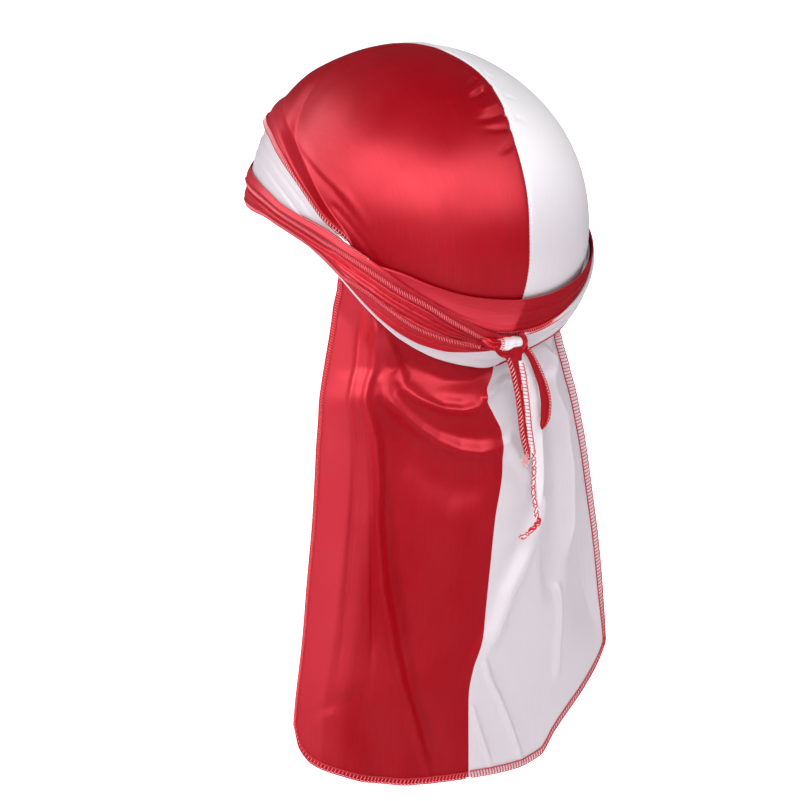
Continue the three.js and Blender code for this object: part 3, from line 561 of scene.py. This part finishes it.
def tie(rows, creases, way, stations=440, columns=96):
    """A tie's outer and inner face: it runs round the head by turn, and across it polar goes
    evenly from its upper to its lower edge. Two soft pleats of sin(2 pi across) squared and
    the creases stand on it, and the lower edge of the first pass stands out a little. Its flat
    places are the length along it and across it."""
    columns_of = dict(zip(("turn", "top", "bottom", "layer", "pleat"), np.array(rows, float).T))
    turn = np.linspace(rows[0][0], rows[-1][0], stations)[:, None]
    across = np.linspace(0, 1, columns)[None, :]
    top, bottom, layer, pleat = (smooth(turn, columns_of["turn"], columns_of[key])
                                 for key in ("top", "bottom", "layer", "pleat"))
    width = TIE_DEGREE_MM * (bottom - top)
    lift = layer_start(layer) + 0.001 * pleat * np.sin(2 * np.pi * across) ** 2 + STRAP_WALL
    for half, height, turns, shares in creases:
        away = (across - smooth(turn, turns, shares)) * width
        within = ease(turns[0] - 2, turns[0] + 8, turn) * (1 - ease(turns[-1], turns[-1] + 8, turn))
        lip = 0.7 * bell(away - 1.6 * half, 1.3 * half)
        lift = lift + 0.001 * height * within * (lip - bell(away, 0.6 * half))
    lift = lift - 0.0003 * (bell(across, 0.04) + bell(across - 1, 0.04))
    flare = 0.0016 * ease(0.84, 0.97, across) * ease(-6, 6, turn) * (1 - ease(60, 75, turn))
    ripple = 0.00002 * np.sin(turn * 0.5 + 9 * across) * np.sin(turn * 0.37 + 2) + (1 if way < 0 else 0.6) * flare
    polar = top + (bottom - top) * across
    outer = on_head(way * turn, polar, lift + ripple)
    inner = on_head(way * turn, polar, lift + ripple - CLOTH)
    along = np.broadcast_to(0.001 * DEGREE_MM * turn, polar.shape)
    uv = np.stack([0.001 * width * across, along], -1)
    return outer, inner, uv, turn, across


def tie_painted_light(surface):
    """Painted light on the red tie: a painted highlight along its first pass as far as the crown's
    seam, brightest a little below its middle, and painted light on its last pass, weaker from 300 degrees on."""
    turn = surface[3] + 0 * surface[4]
    first = 0.70 * (1 - ease(-4.2, -3.2, turn)) * (0.35 + 0.65 * bell(surface[4] - 0.62, 0.32))
    return first + 0.46 * ease(200, 230, turn) * (1 - 0.55 * ease(300, 318, turn))


red_tie = tie(RED_TIE, RED_CREASES, -1)
# The red tie carries painted highlights on its first pass and painted light on its last.
strap_left = sheet_object("satin_tie_left", red_satin, *red_tie[:3], tie_painted_light(red_tie))
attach(strap_left, "root")
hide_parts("strap_left")

# The red tie's hems: rope-like overlock rows in its own colour, one along the lower edge of
# its first pass, and two on the folded last pass, whose upper edge shows a paler one.


def tie_hem(name, surface, turns, shares, rung, rail, width=HEM_WIDTH, inward=-1, pitch=0.0014, thick=0.0003):
    """A hem that lies on a tie: its edge is at the share across that shares gives along the
    turns, and its inner line that width up the tie (or down it, where inward is 1)."""
    stations = np.flatnonzero((surface[3][:, 0] >= turns[0]) & (surface[3][:, 0] <= turns[-1]))
    share = smooth(surface[3][stations, 0], turns, shares)[:, None]
    place = np.clip(share + inward * np.linspace(0, 0.45, 24)[None, :], 0, 1) * (surface[0].shape[1] - 1)
    low = np.minimum(place.astype(int), surface[0].shape[1] - 2)
    t = (place - low)[..., None]
    grid = surface[0][stations]
    rows = np.arange(len(stations))[:, None]
    lines = grid[rows, low] + t * (grid[rows, low + 1] - grid[rows, low])
    return overlock(name, hem_lines(lines, width), rung, rail, pitch, 0.8, thick)


tie_hems = (
    tie_hem("tie_first_pass_hem", red_tie, [-12, 62], [0.99, 0.99], light_thread, red_thread)
    + tie_hem("tie_fold_hem", red_tie, [228, 254, 277, 285, 293, 302, 311, 321, 328, 336, 347],
              [0.44, 0.48, 0.52, 0.5, 0.33, 0.235, 0.195, 0.156, 0.196, 0.256, 0.46], light_thread, dark_thread)
    + tie_hem("tie_low_hem", red_tie, [224, 254, 285, 292, 298, 304, 310, 319, 327, 335, 344],
              [1, 1, 1, 0.95, 0.77, 0.68, 0.665, 0.68, 0.68, 0.69, 0.74], light_thread, dark_thread)
    + tie_hem("tie_top_hem", red_tie, [275, 303], [0.0, 0.0], pink_thread, red_thread, 0.0006, 1, 0.0012, 0.00016))

# The white tie, the other way round; it shows as a strip under the red one and at the temple.
white_tie = tie(WHITE_TIE, WHITE_CREASES, 1)
strap_right = sheet_object("satin_tie_right", white_satin, *white_tie[:3])
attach(strap_right, "root")
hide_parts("strap_right")

# The white tie's hem, with small dark red stitches on its lower edge: where it starts at the
# nape, and on its second pass down to the knot.
white_tie_hem = []
for name, turns in (("white_tie_hem", [-52, 2]), ("white_tie_second_hem", [300, 353])):
    white_tie_hem += tie_hem(name, white_tie, turns, [1, 1], dark_thread, red_thread, 0.0012, pitch=0.0019,
                             thick=0.00026)

# The tail: two panels sewn together at the middle and to the crown under the ties, hanging
# free from there. It hangs in long vertical pleats at its left and in swags below the knot.
TAIL_LENGTH, TAIL_WIDTH, TAIL_TOP = 0.220, 0.100, 0.050
TAIL_PLAN = dict(
    drop=[-0.13, -0.04, 0.04, 0.075, 0.115, 0.16, 0.21, 0.29, 0.4, 0.52, 0.65, 0.81, 1],
    left_x=[0.7, 0.75, 0.797, 0.815, 0.834, 0.847, 0.862, 0.88, 0.91, 0.946, 0.983, 1.046, 1.1],
    left_y=[0.28, 0.305, 0.32, 0.325, 0.332, 0.34, 0.345, 0.355, 0.372, 0.381, 0.393, 0.414, 0.44],
    seam_x=[-0.03, -0.03, -0.01, 0.06, 0.106, 0.06, 0.014, 0.022, 0.078, 0.119, 0.165, 0.268, 0.275],
    seam_y=[0.64, 0.66, 0.68, 0.695, 0.711, 0.725, 0.737, 0.755, 0.773, 0.784, 0.795, 0.812, 0.825],
    right_x=[-0.4, -0.45, -0.505, -0.53, -0.555, -0.585, -0.61, -0.648, -0.685, -0.722, -0.75,
             -0.772, -0.765],
    right_y=[0.56, 0.54, 0.54, 0.545, 0.55, 0.555, 0.56, 0.565, 0.575, 0.588, 0.6, 0.61, 0.62])
TAIL_HEM = dict(across=[-1, -0.93, -0.8, -0.68, -0.58, -0.48, -0.3, 0, 0.45, 0.75, 0.88, 0.96, 1],
                drop=[0.782, 0.823, 0.873, 0.91, 0.945, 0.988, 1, 0.995, 0.986, 0.957, 0.936, 0.9, 0.845])
TAIL_TOP_EDGE = dict(around=[0, 30, 42, 52, 60, 77], polar=[108, 107, 106.5, 106, 102, 91])

# Its folds: a line of places (across, drop), then half width and height in mm. across is 1 at
# the left hem and -1 at the right; drop goes from the knot down in shares of the length.
TAIL_FOLDS = [
    ([(0.89, -0.2), (0.868, -0.02), (0.848, 0.114), (0.832, 0.295), (0.815, 0.473), (0.8, 0.75)], 1.3, -1.2),
    ([(0.88, -0.2), (0.835, 0), (0.8, 0.14), (0.765, 0.3), (0.72, 0.45), (0.66, 0.7)], 1.5, 1.3),
    ([(0.87, -0.2), (0.81, 0.06), (0.775, 0.2), (0.735, 0.36), (0.68, 0.56), (0.6, 0.78)], 1.8, -1.5),
    ([(0.865, -0.2), (0.8, 0), (0.755, 0.162), (0.705, 0.365), (0.625, 0.542), (0.53, 0.673), (0.362, 0.803),
      (0.262, 0.947), (0.22, 1.05)], 3, 4.2),
    ([(0.7, 0.3), (0.6, 0.5), (0.47, 0.68), (0.3, 0.84), (0.18, 1)], 5, -3.2),
    ([(0.86, -0.2), (0.8, -0.09), (0.74, -0.02), (0.66, 0.045), (0.57, 0.085), (0.45, 0.112), (0.31, 0.138),
      (0.195, 0.145), (0.094, 0.14), (0, 0.128), (-0.1, 0.1)], 2.8, 3),
    ([(0.78, -0.16), (0.7, -0.05), (0.6, 0.02), (0.48, 0.06), (0.35, 0.08), (0.15, 0.085), (0, 0.07)],
     4.5, -1.4),
    ([(0.845, -0.18), (0.79, -0.05), (0.73, 0.04), (0.65, 0.105), (0.57, 0.15), (0.503, 0.185), (0.423, 0.212),
      (0.295, 0.236), (0.168, 0.246), (0.034, 0.243), (-0.12, 0.22)], 4.2, 3),
    ([(0.7, 0.14), (0.55, 0.25), (0.3, 0.32), (0.05, 0.32)], 10, -1.8),
    ([(0.839, 0.8), (0.785, 0.84), (0.711, 0.893), (0.658, 0.94), (0.604, 1.04)], 8, 1.2),
    ([(0.74, 0.76), (0.6, 0.85), (0.46, 1.04)], 8, -1.8),
    ([(0.42, 0.8), (0.36, 1.05)], 7, 0.8),
    ([(-0.04, 0.715), (-0.188, 0.814), (-0.262, 0.89), (-0.36, 1)], 1.4, 2.4),
    ([(-0.013, 0.82), (-0.067, 0.893), (-0.15, 0.99)], 1.4, 2.1),
    ([(-0.55, 0.58), (-0.584, 0.712), (-0.61, 0.83)], 2.4, 2.4),
    ([(-0.7, 0), (-0.611, 0.155), (-0.577, 0.251), (-0.638, 0.359), (-0.658, 0.55)], 4.5, 5.4),
    ([(-0.45, 0.1), (-0.42, 0.24), (-0.46, 0.4), (-0.5, 0.65)], 6.5, -5.8),
    ([(-0.41, 0.34), (-0.255, 0.486), (-0.128, 0.583), (-0.01, 0.74)], 5.5, 5.2),
    ([(0.04, 0.125), (-0.04, 0.108), (-0.13, 0.088), (-0.3, 0.085)], 2, 3.2),
    ([(-0.02, 0.21), (-0.12, 0.275), (-0.27, 0.33)], 4, 2),
]


def tie_bottom(around):
    """The lowest edge of the ties at an angle around, over both of their passes."""
    lowest = np.zeros(np.shape(around))
    for rows, way in ((RED_TIE[:-2], -1), (WHITE_TIE, 1)):
        table = np.array(rows, float)
        for lap in (0, 360):
            turn = way * around + lap
            inside = (turn >= table[0, 0]) & (turn <= table[-1, 0])
            bottom = smooth(turn, table[:, 0], table[:, 2])
            lowest = np.where(inside, np.maximum(lowest, bottom), lowest)
    return lowest


def tail_under_ties(across, share, depth):
    """Under the ties the tail lies on the head, from its top edge to their lower edge; its
    seam shifts sideways there by the share of the way down."""
    seam = SEAM["wander"][-1] + (1.6 - SEAM["wander"][-1]) * share
    around = seam + np.abs(across) * (np.where(across > 0, 70.5, -39) - seam)
    top = smooth(np.abs(around), TAIL_TOP_EDGE["around"], TAIL_TOP_EDGE["polar"]) + 0.2
    polar = top + (tie_bottom(around) + 0.8 - top) * share
    return on_head(around, polar, depth)


def tail_hanging(across, fall, lift_of):
    """Below the ties the tail hangs: at each drop its plan is a parabola through the left hem,
    the seam and the right hem, and it stands off that plan by the folds."""
    start = tail_under_ties(across, 1.0, 0.0)
    start_drop = (-start[..., 2] - TAIL_TOP) / TAIL_LENGTH
    drop = start_drop + (smooth(across, TAIL_HEM["across"], TAIL_HEM["drop"]) - start_drop) * fall
    plan = {key: smooth(drop, TAIL_PLAN["drop"], TAIL_PLAN[key]) for key in TAIL_PLAN if key != "drop"}
    left = np.stack([plan["left_x"] * TAIL_WIDTH, plan["left_y"] * HEAD_DEPTH], -1)
    middle = np.stack([plan["seam_x"] * TAIL_WIDTH, plan["seam_y"] * HEAD_DEPTH], -1)
    right = np.stack([plan["right_x"] * TAIL_WIDTH, plan["right_y"] * HEAD_DEPTH], -1)
    tilt, bend = (left - right) / 2, (left + right) / 2 - middle
    a = across[..., None]
    place = middle + tilt * a + bend * a * a
    run = tilt + 2 * bend * a
    run = run / np.linalg.norm(run, axis=-1, keepdims=True)
    free = ease(0, 0.08, fall)
    lift = lift_of(across, drop, fall)
    x = start[..., 0] + (place[..., 0] - start[..., 0]) * free - run[..., 1] * lift
    y = start[..., 1] + (place[..., 1] - start[..., 1]) * free + run[..., 0] * lift
    return np.stack([x, y, -TAIL_TOP - drop * TAIL_LENGTH], -1), drop


def tail_folds(across, drop, fall):
    """The sum over the folds of height x bell(distance, half width), each fading at its ends,
    and a flare: beside the hem on the wearer's right the cloth dips in, then turns out again."""
    lift = np.zeros(np.broadcast(across, drop).shape)
    for line, width, height in TAIL_FOLDS:
        flat = [(1000 * TAIL_WIDTH * a, 1000 * TAIL_LENGTH * d) for a, d in line]
        away, along = line_distance(1000 * TAIL_WIDTH * across, 1000 * TAIL_LENGTH * drop, flat)
        lift = lift + 0.001 * height * bell(away, width) * ease(0, 0.12, along) * (1 - ease(0.8, 1, along))
    flare = 0.0085 * ease(-0.60, -0.91, across) * (1 - ease(-0.92, -1.0, across)) * (1 - ease(0.6, 0.8, drop))
    return lift * ease(0, 0.05, fall) - flare * ease(0.02, 0.1, fall)


def tail_panel(side, head_rows=16, rows=200, columns=150):
    """A tail panel's outer and inner face, from its top edge under the ties to its hem, and
    from the seam to the side hem, with its flat places and its painted light."""
    across = side * np.linspace(0, 1, columns)[None, :]
    share = np.linspace(0, 1, head_rows)[:, None]
    fall = (np.linspace(0, 1, rows)[1:, None]) ** 1.15
    faces = []
    for depth in (CROWN_WALL, CROWN_WALL - CLOTH):
        upper = tail_under_ties(across + 0 * share, share + 0 * across, depth)
        lower, drop = tail_hanging(across + 0 * fall, fall + 0 * across,
                                   lambda a, d, f: depth + tail_folds(a, d, f))
        faces.append(np.concatenate([upper, lower]))
    length = np.concatenate([0.02 * share + 0 * across, 0.02 + drop * TAIL_LENGTH])
    uv = np.stack([TAIL_WIDTH * 1.15 * (across + 0 * length), length], -1)
    # Painted light: the single layer by the left hem is painted lighter, as light shines through it, and a band
    # beside it a little lighter; both fade to half further down.
    light = 0.26 * ease(0.83, 0.86, across) + 0.24 * ease(0.70, 0.78, across) + 0 * length
    light = light * (1 - 0.5 * ease(0.14, 0.24, length))
    return faces[0], faces[1], uv, light


red_tail = tail_panel(1)
tail_left = sheet_object("satin_tail_left", red_satin, *red_tail)
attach(tail_left, "root")
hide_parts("tail_left")

# The red half's hems: overlock stitches in its own colour down the side and along the bottom.


def tail_hem_lines(grid, side_width, bottom_width):
    """The lines inwards from a tail panel's side, from its 14th row, where the ties end, and
    from its bottom edge."""
    side, bottom = grid[14:, ::-1][:, :30], grid[::-1][:20].transpose(1, 0, 2)
    return hem_lines(side, side_width), hem_lines(bottom, bottom_width)


side_hem, bottom_hem = tail_hem_lines(red_tail[0], HEM_WIDTH, 0.0027)
red_tail_hems = (
    overlock("tail_left_side_hem", side_hem, light_thread, red_thread, 0.0013, 0.8, 0.0003)
    + overlock("tail_left_bottom_hem", bottom_hem, light_thread, red_thread, 0.0019, 0.6, 0.0003))

# The tail's white half.
white_tail = tail_panel(-1)
tail_right = sheet_object("satin_tail_right", white_satin, *white_tail)
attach(tail_right, "root")
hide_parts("tail_right")

# The white half's hems: a ladder of red stitches, with red edge chains.
side_hem, bottom_hem = tail_hem_lines(white_tail[0], 0.0036, 0.0032)
white_tail_hems = (
    overlock("tail_right_side_hem", side_hem, red_thread, red_thread, thick=0.00025)
    + overlock("tail_right_bottom_hem", bottom_hem, red_thread, red_thread, thick=0.00025))

# The knot: the red tie's end gathered into a twisted bundle that lies across the nape.
KNOT_LOW, KNOT_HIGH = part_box("knot_wrap")
KNOT = np.array((KNOT_LOW + KNOT_HIGH) / 2)
KNOT_RADIUS = (KNOT_HIGH.z - KNOT_LOW.z) / 2


def bundle(name, table, folds, twist, material, stations=90, sides=48):
    """Cloth gathered into a cord: rings of radius x (1 + fold depth x cos(folds t + twist s))
    about a path, from a table of (x, y, z, radius, fold depth) in mm from the knot's middle;
    the end rings shrink to a point."""
    rows = np.array(table, float)
    place = np.linspace(0, len(rows) - 1, stations)
    x, y, z, radius, depth = (smooth(place, np.arange(len(rows)), rows[:, k])[:, None] for k in range(5))
    path = KNOT + 0.001 * np.concatenate([x, y, z], 1)
    ahead = unit(np.gradient(path, axis=0))
    across = unit(np.cross(ahead, [0, 0, 1.0]))
    up = np.cross(across, ahead)
    angle = np.linspace(0, 2 * np.pi, sides, endpoint=False)[None, :]
    share = np.linspace(0, 1, stations)[:, None]
    ripple = np.cos(folds * angle + twist * share) + 0.4 * np.cos((folds + 3) * angle - 1.7 * twist * share)
    size = 0.001 * radius * (1 + depth * ripple)
    points = path[:, None] + (size * np.cos(angle))[..., None] * across[:, None]
    points = points + (size * np.sin(angle))[..., None] * up[:, None]
    number = np.arange(stations * sides).reshape(stations, sides)
    turned = np.roll(number, -1, axis=1)
    faces = np.stack([number[:-1], turned[:-1], turned[1:], number[1:]], -1).reshape(-1, 4)
    uv = np.stack([size * angle, np.broadcast_to(0.03 * share, size.shape)], -1).reshape(-1, 2)
    made = mesh_object(name, points.reshape(-1, 3), faces, uv, sharp=180)
    made.data.materials.append(material)
    return made


knot_core = bundle("satin_knot_core", [
    (13.5, -5.4, 3.4, 0, 0), (13, -5, 3.2, 1.4, 0.14), (10.6, -2.8, 1.5, 2.1, 0.2),
    (8.2, -0.6, 0.2, 2.5, 0.18), (5, 0.2, 0, 2.3, 0.1), (-5, 0.2, 0, 2.3, 0.1),
    (-7.8, 0, -0.3, 2.6, 0.14), (-9.6, -1, -1.2, 1.9, 0.16), (-10.6, -2, -2.2, 0, 0)],
    5, 7.0, red_satin)
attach(knot_core, "root")
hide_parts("knot_core")

# A fold of it comes out under the white turn and lies round its end on the wearer's right.
knot_fold = bundle("satin_knot_fold", [
    (9.4, 1, 0.6, 0, 0), (8.8, 1.4, -0.4, 1.3, 0.16), (5.6, 1.6, -3.9, 1.5, 0.16), (0.5, 1.6, -5, 1.7, 0.14),
    (-4.8, 1.6, -4.4, 1.8, 0.14), (-8, 1.4, -1.4, 1.9, 0.16), (-8.4, 1, 2, 1.5, 0.14),
    (-6.8, 0.4, 4, 0.9, 0.1), (-6, 0, 4.4, 0, 0)], 6, 9.0, red_satin)
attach(knot_fold, "root")

# One turn of the white tie round it, its hem's stitches at the edge on the wearer's left.
turn_angle = np.linspace(0, 2 * np.pi, 121)[:, None]
turn_across = np.linspace(-1, 1, 41)[None, :]


def knot_turn(depth):
    """A ring about the X axis: half length x share, plus a slant of sin t, at a radius that
    falls at both edges and has shallow creases of cos(9 share + 2 t)."""
    radius = KNOT_RADIUS * (1.0 - 0.16 * np.abs(turn_across) ** 3) - depth
    radius = radius + 0.00014 * np.cos(8 * turn_across + 2 * turn_angle)
    x = (KNOT_HIGH.x - KNOT_LOW.x) / 2 * turn_across * (1 - 0.12 * np.sin(turn_angle)) - 0.0006 * np.sin(turn_angle)
    return KNOT + np.stack([x, radius * np.cos(turn_angle), 0.96 * radius * np.sin(turn_angle)], -1)


turn_outer = knot_turn(0.0)
turn_uv = np.stack([KNOT_RADIUS * turn_angle + 0 * turn_across, 0.006 * turn_across + 0 * turn_angle], -1)
# Painted light lightens the whole turn evenly, 0.45 of the way to the white satin's light colour.
knot_wrap = sheet_object("satin_knot_turn", white_satin, turn_outer, knot_turn(CLOTH), turn_uv,
                         0.45 + 0 * turn_uv[..., 0])
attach(knot_wrap, "root")
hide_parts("knot_wrap")
knot_hem = overlock("knot_turn_hem", hem_lines(turn_outer[:, ::-1], 0.0012), red_thread, pink_thread, 0.0013)

# The ties' ends, hanging from the knot: a short flat red one, a red one rolled along its two
# hems, and a longer white one behind them.


def hanging_end(name, node, rows, cup, material, light=0.0, length_rows=150, columns=26):
    """A ribbon below the knot: at each drop its middle stands (side, out) from the knot, and
    across its width it is cupped by cup x (1 - 4 share squared); its wall is 0.5 mm. rows hold
    z, side, out and width in mm; light is how much painted light is mixed into its colour."""
    table = np.array(rows, float)
    drop = np.linspace(0, 1, length_rows)[:, None] ** 0.9
    share = np.linspace(-0.5, 0.5, columns)[None, :]
    z = table[0, 0] + (table[-1, 0] - table[0, 0]) * drop
    side, out, width = (smooth(-z, -table[:, 0], table[:, k]) for k in (1, 2, 3))
    facing = math.radians(20)
    ripple = 0.12 * np.sin(z * 0.55 + 5 * share) + 0.2 * np.sin(z * 0.21 + 2)

    def face(depth):
        """The middle + share x width, turned by facing, that deep under the cup."""
        lift = cup * (1 - 4 * share ** 2) + ripple - depth
        x = side + share * width * math.cos(facing) + lift * math.sin(facing)
        y = out - share * width * math.sin(facing) + lift * math.cos(facing)
        return KNOT + 0.001 * np.stack(np.broadcast_arrays(x, y, z), -1)

    outer, inner = face(0.0), face(0.5)
    uv = 0.001 * np.stack([share * width, z + 0 * share], -1)
    made = sheet_object(name, material, outer, inner, uv, light + np.zeros(outer.shape[:2]))
    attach(made, "root")
    if node:
        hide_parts(node)
    return made, outer


end_flat, flat_grid = hanging_end("satin_end_red_flat", "end_red_flat", [
    (-2, -8.2, 1.4, 4.2), (-4, -9.6, 1.5, 3.6), (-8.2, -12.8, 1.5, 3.6), (-14.2, -16.2, 1.4, 3.9),
    (-25.4, -21, 1.2, 4.6), (-34, -22.6, 1, 4.9), (-40, -22.4, 0.9, 4.4), (-44, -21.4, 0.9, 3),
    (-46, -20.8, 0.9, 1)], 0.7, red_satin)
end_rolled, rolled_grid = hanging_end("satin_end_red_rolled", "end_red_rolled", [
    (-1.5, -0.4, 1.8, 10.8), (-6, -1.6, 2, 8.4), (-11.5, -2.9, 2, 6.2), (-18, -4.3, 1.8, 4.7),
    (-25.5, -5.7, 1.6, 3.9), (-35.5, -7.3, 1.4, 3.4), (-47.5, -9.2, 1.2, 3.1), (-56, -11.4, 1, 2.6),
    (-60, -12, 1, 2)], 1.1, red_satin)
# The white end carries painted light, 0.55 of the way to the light colour, so it stands out brighter.
end_white, white_grid = hanging_end("satin_end_white", "end_white", [
    (-2, -6.8, -2.2, 5), (-6, -9.4, -2.6, 5.2), (-13.5, -13.6, -3.4, 6), (-21.5, -16.1, -3.6, 7),
    (-33.5, -17.9, -3.8, 7.4), (-48, -19.9, -3.8, 7.4), (-61, -21.4, -3.8, 6.4), (-70, -23, -3.8, 4.6),
    (-80, -23.6, -3.8, 3.2), (-87, -22.8, -3.8, 0.9)], 1.1, white_satin, 0.55)
end_hems = (
    overlock("end_flat_hem", hem_lines(flat_grid[:, :14], 0.0011), pink_thread, red_thread, 0.0016)
    + overlock("end_rolled_hem", hem_lines(rolled_grid[:, ::-1][:, :16], 0.0022), pink_thread, red_thread,
               0.0021, 1.4))

# The white end's hem, a narrow ladder of red stitches that has come loose from its edge and
# lies beside the rolled end.
# The ladder's strip of white satin carries the same painted light.
ladder, ladder_grid = hanging_end("satin_ladder", None, [
    (-8.5, -4.4, 3.4, 2.2), (-12, -5.2, 3.2, 3), (-19.5, -6.8, 2.8, 3.6), (-30, -8.6, 2.4, 3.6),
    (-40.5, -10.3, 2, 3.5), (-50, -12.2, 1.8, 3.2), (-57, -14.2, 1.6, 2.4)], 0.5, white_satin, 0.55)
ladder_hem = overlock("ladder", hem_lines(ladder_grid[:, 1:25], 0.0027), red_thread, red_thread, 0.0019, 0.3)

# The loose thread chain below the rolled end: two plies, red and pale, twisted round each
# other, with a kink, a lump and a curl at its end; and the frayed tip of the end's other hem.
CHAIN = [(-14.6, 1.6, -56), (-15.6, 1.2, -66), (-15.4, 0.8, -75), (-17.2, 0.8, -86), (-18, 1, -91.5),
         (-19.2, 1.2, -93.2), (-16.8, 1.6, -95), (-13.6, 1.6, -97), (-9.4, 1.6, -99.4), (-7.6, 1.4, -100),
         (-8.2, 0.6, -98.4)]


def chain_strand(name, table, reach, thick, links, phase, material, points=520):
    """One strand of a chain of loops: path + reach x sin(pi links s + phase) to the side, with
    a smaller cos(pi links s + phase) outwards, along a path in mm from the knot's middle."""
    rows = np.array(table, float)
    place = np.linspace(0, len(rows) - 1, points)
    path = KNOT + 0.001 * np.stack([smooth(place, np.arange(len(rows)), rows[:, k]) for k in range(3)], -1)
    out = np.array([0.583, 0.812, 0.0])
    across = unit(np.cross(unit(np.gradient(path, axis=0)), out))
    run = np.concatenate([[0], np.cumsum(np.linalg.norm(np.diff(path, axis=0), axis=-1))])
    angle = (np.pi * links * run / run[-1] + 0.6 * np.sin(71 * run / run[-1]) + phase)[:, None]
    made = tubes(name, (path + reach * (np.sin(angle) * across + 0.45 * np.cos(angle) * out))[None], thick, material,
                 sides=6)
    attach(made, "root")
    return made


chain = [chain_strand("chain_left", CHAIN, 0.0010, 0.00027, 21, 0.0, red_thread),
         chain_strand("chain_right", CHAIN, 0.0010, 0.00027, 21, math.pi, red_thread),
         chain_strand("chain_pale", CHAIN, 0.0004, 0.00032, 30, 1.0, white_thread),
         chain_strand("chain_lump", [(-18.6, 1.0, -90.0), (-18.8, 1.2, -92.6), (-16.0, 1.6, -95.2),
                                     (-12.6, 1.6, -97.4)], 0.0009, 0.0006, 5, 0.6, red_thread, 120)]
rng = np.random.default_rng(7)
count = 34
root = KNOT + 0.001 * np.array([-9.6, 1.8, -57.5]) + 0.001 * rng.normal(0, 1, (count, 3)) * [0.9, 0.3, 1.5]
swing = 0.001 * rng.normal(0, 1, (count, 3)) * [1.8, 0.7, 0.8] + [0.0008, 0.0002, -0.0034]
t = np.linspace(0, 1, 7)[None, :, None]
curl = 0.001 * rng.normal(0, 0.7, (count, 1, 3)) * np.sin(np.pi * t)
fray = tubes("frayed_tip", root[:, None] + swing[:, None] * t + curl, 0.00013, pink_thread)
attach(fray, "root")

# A pale floor and backdrop, one sweep, with soft studio lights.
sweep = np.linspace(0, 1, 60)[:, None]
wide = np.linspace(-4.0, 4.0, 3)[None, :]
bend = np.clip((sweep - 0.45) / 0.2, 0, 1) * math.pi / 2
back = np.array([-0.665, -0.747])
side_way = np.array([-0.747, 0.665])
run = np.where(sweep < 0.45, -3.0 + sweep / 0.45 * 4.2, 1.2 + 1.0 * np.sin(bend))
rise = np.where(sweep < 0.65, 1.0 - np.cos(bend), 1.0 + (sweep - 0.65) / 0.35 * 3.0)
floor_points = np.stack([run * back[0] + wide * side_way[0], run * back[1] + wide * side_way[1],
                         cad_low[2] - 0.012 + rise + 0 * wide], -1)
number = np.arange(floor_points.shape[0] * 3).reshape(-1, 3)
floor_faces = np.stack([number[:-1, :-1].ravel(), number[:-1, 1:].ravel(), number[1:, 1:].ravel(),
                        number[1:, :-1].ravel()], -1)
floor_mesh = bpy.data.meshes.new("floor")
floor_mesh.from_pydata(floor_points.reshape(-1, 3).tolist(), [], floor_faces.tolist())
floor_mesh.shade_smooth()
floor = linked("floor", floor_mesh)
floor_material = bpy.data.materials.new("pale_floor")
floor_material.use_nodes = True
floor_shader = floor_material.node_tree.nodes["Principled BSDF"]
floor_shader.inputs["Base Color"].default_value = (0.93, 0.93, 0.93, 1)
floor_shader.inputs["Roughness"].default_value = 0.9
floor_shader.inputs["Emission Color"].default_value = (1, 1, 1, 1)
floor_shader.inputs["Emission Strength"].default_value = 0.8
floor_mesh.materials.append(floor_material)
floor.visible_glossy = False


def softbox(name, direction, distance, size, power):
    """A rectangular light that far from the middle of the wrap, facing it."""
    light = bpy.data.lights.new(name, "AREA")
    light.shape = "RECTANGLE"
    light.size, light.size_y = size
    light.energy = power
    lamp = linked(name, light)
    way = Vector(direction).normalized()
    lamp.location = way * distance
    lamp.rotation_euler = (-way).to_track_quat("-Z", "Y").to_euler()


for name, direction, distance, size, power in (
        ("key_left", (0.95, 0.28, 0.62), 1.6, (1.7, 0.9), 18), ("key_back", (0.10, 1.0, 0.72), 1.6, (1.7, 0.9), 14.5),
        ("key_front", (0.72, -0.75, 0.50), 1.6, (1.7, 1.0), 10), ("fill", (-0.85, 0.75, 0.7), 2.0, (1.6, 1.6), 4)):
    softbox(name, direction, distance, size, power)
world = bpy.data.worlds.new("studio")
world.use_nodes = True
world.node_tree.nodes["Background"].inputs["Color"].default_value = (0.95, 0.96, 1.0, 1)
world.node_tree.nodes["Background"].inputs["Strength"].default_value = 0.04
bpy.context.scene.world = world
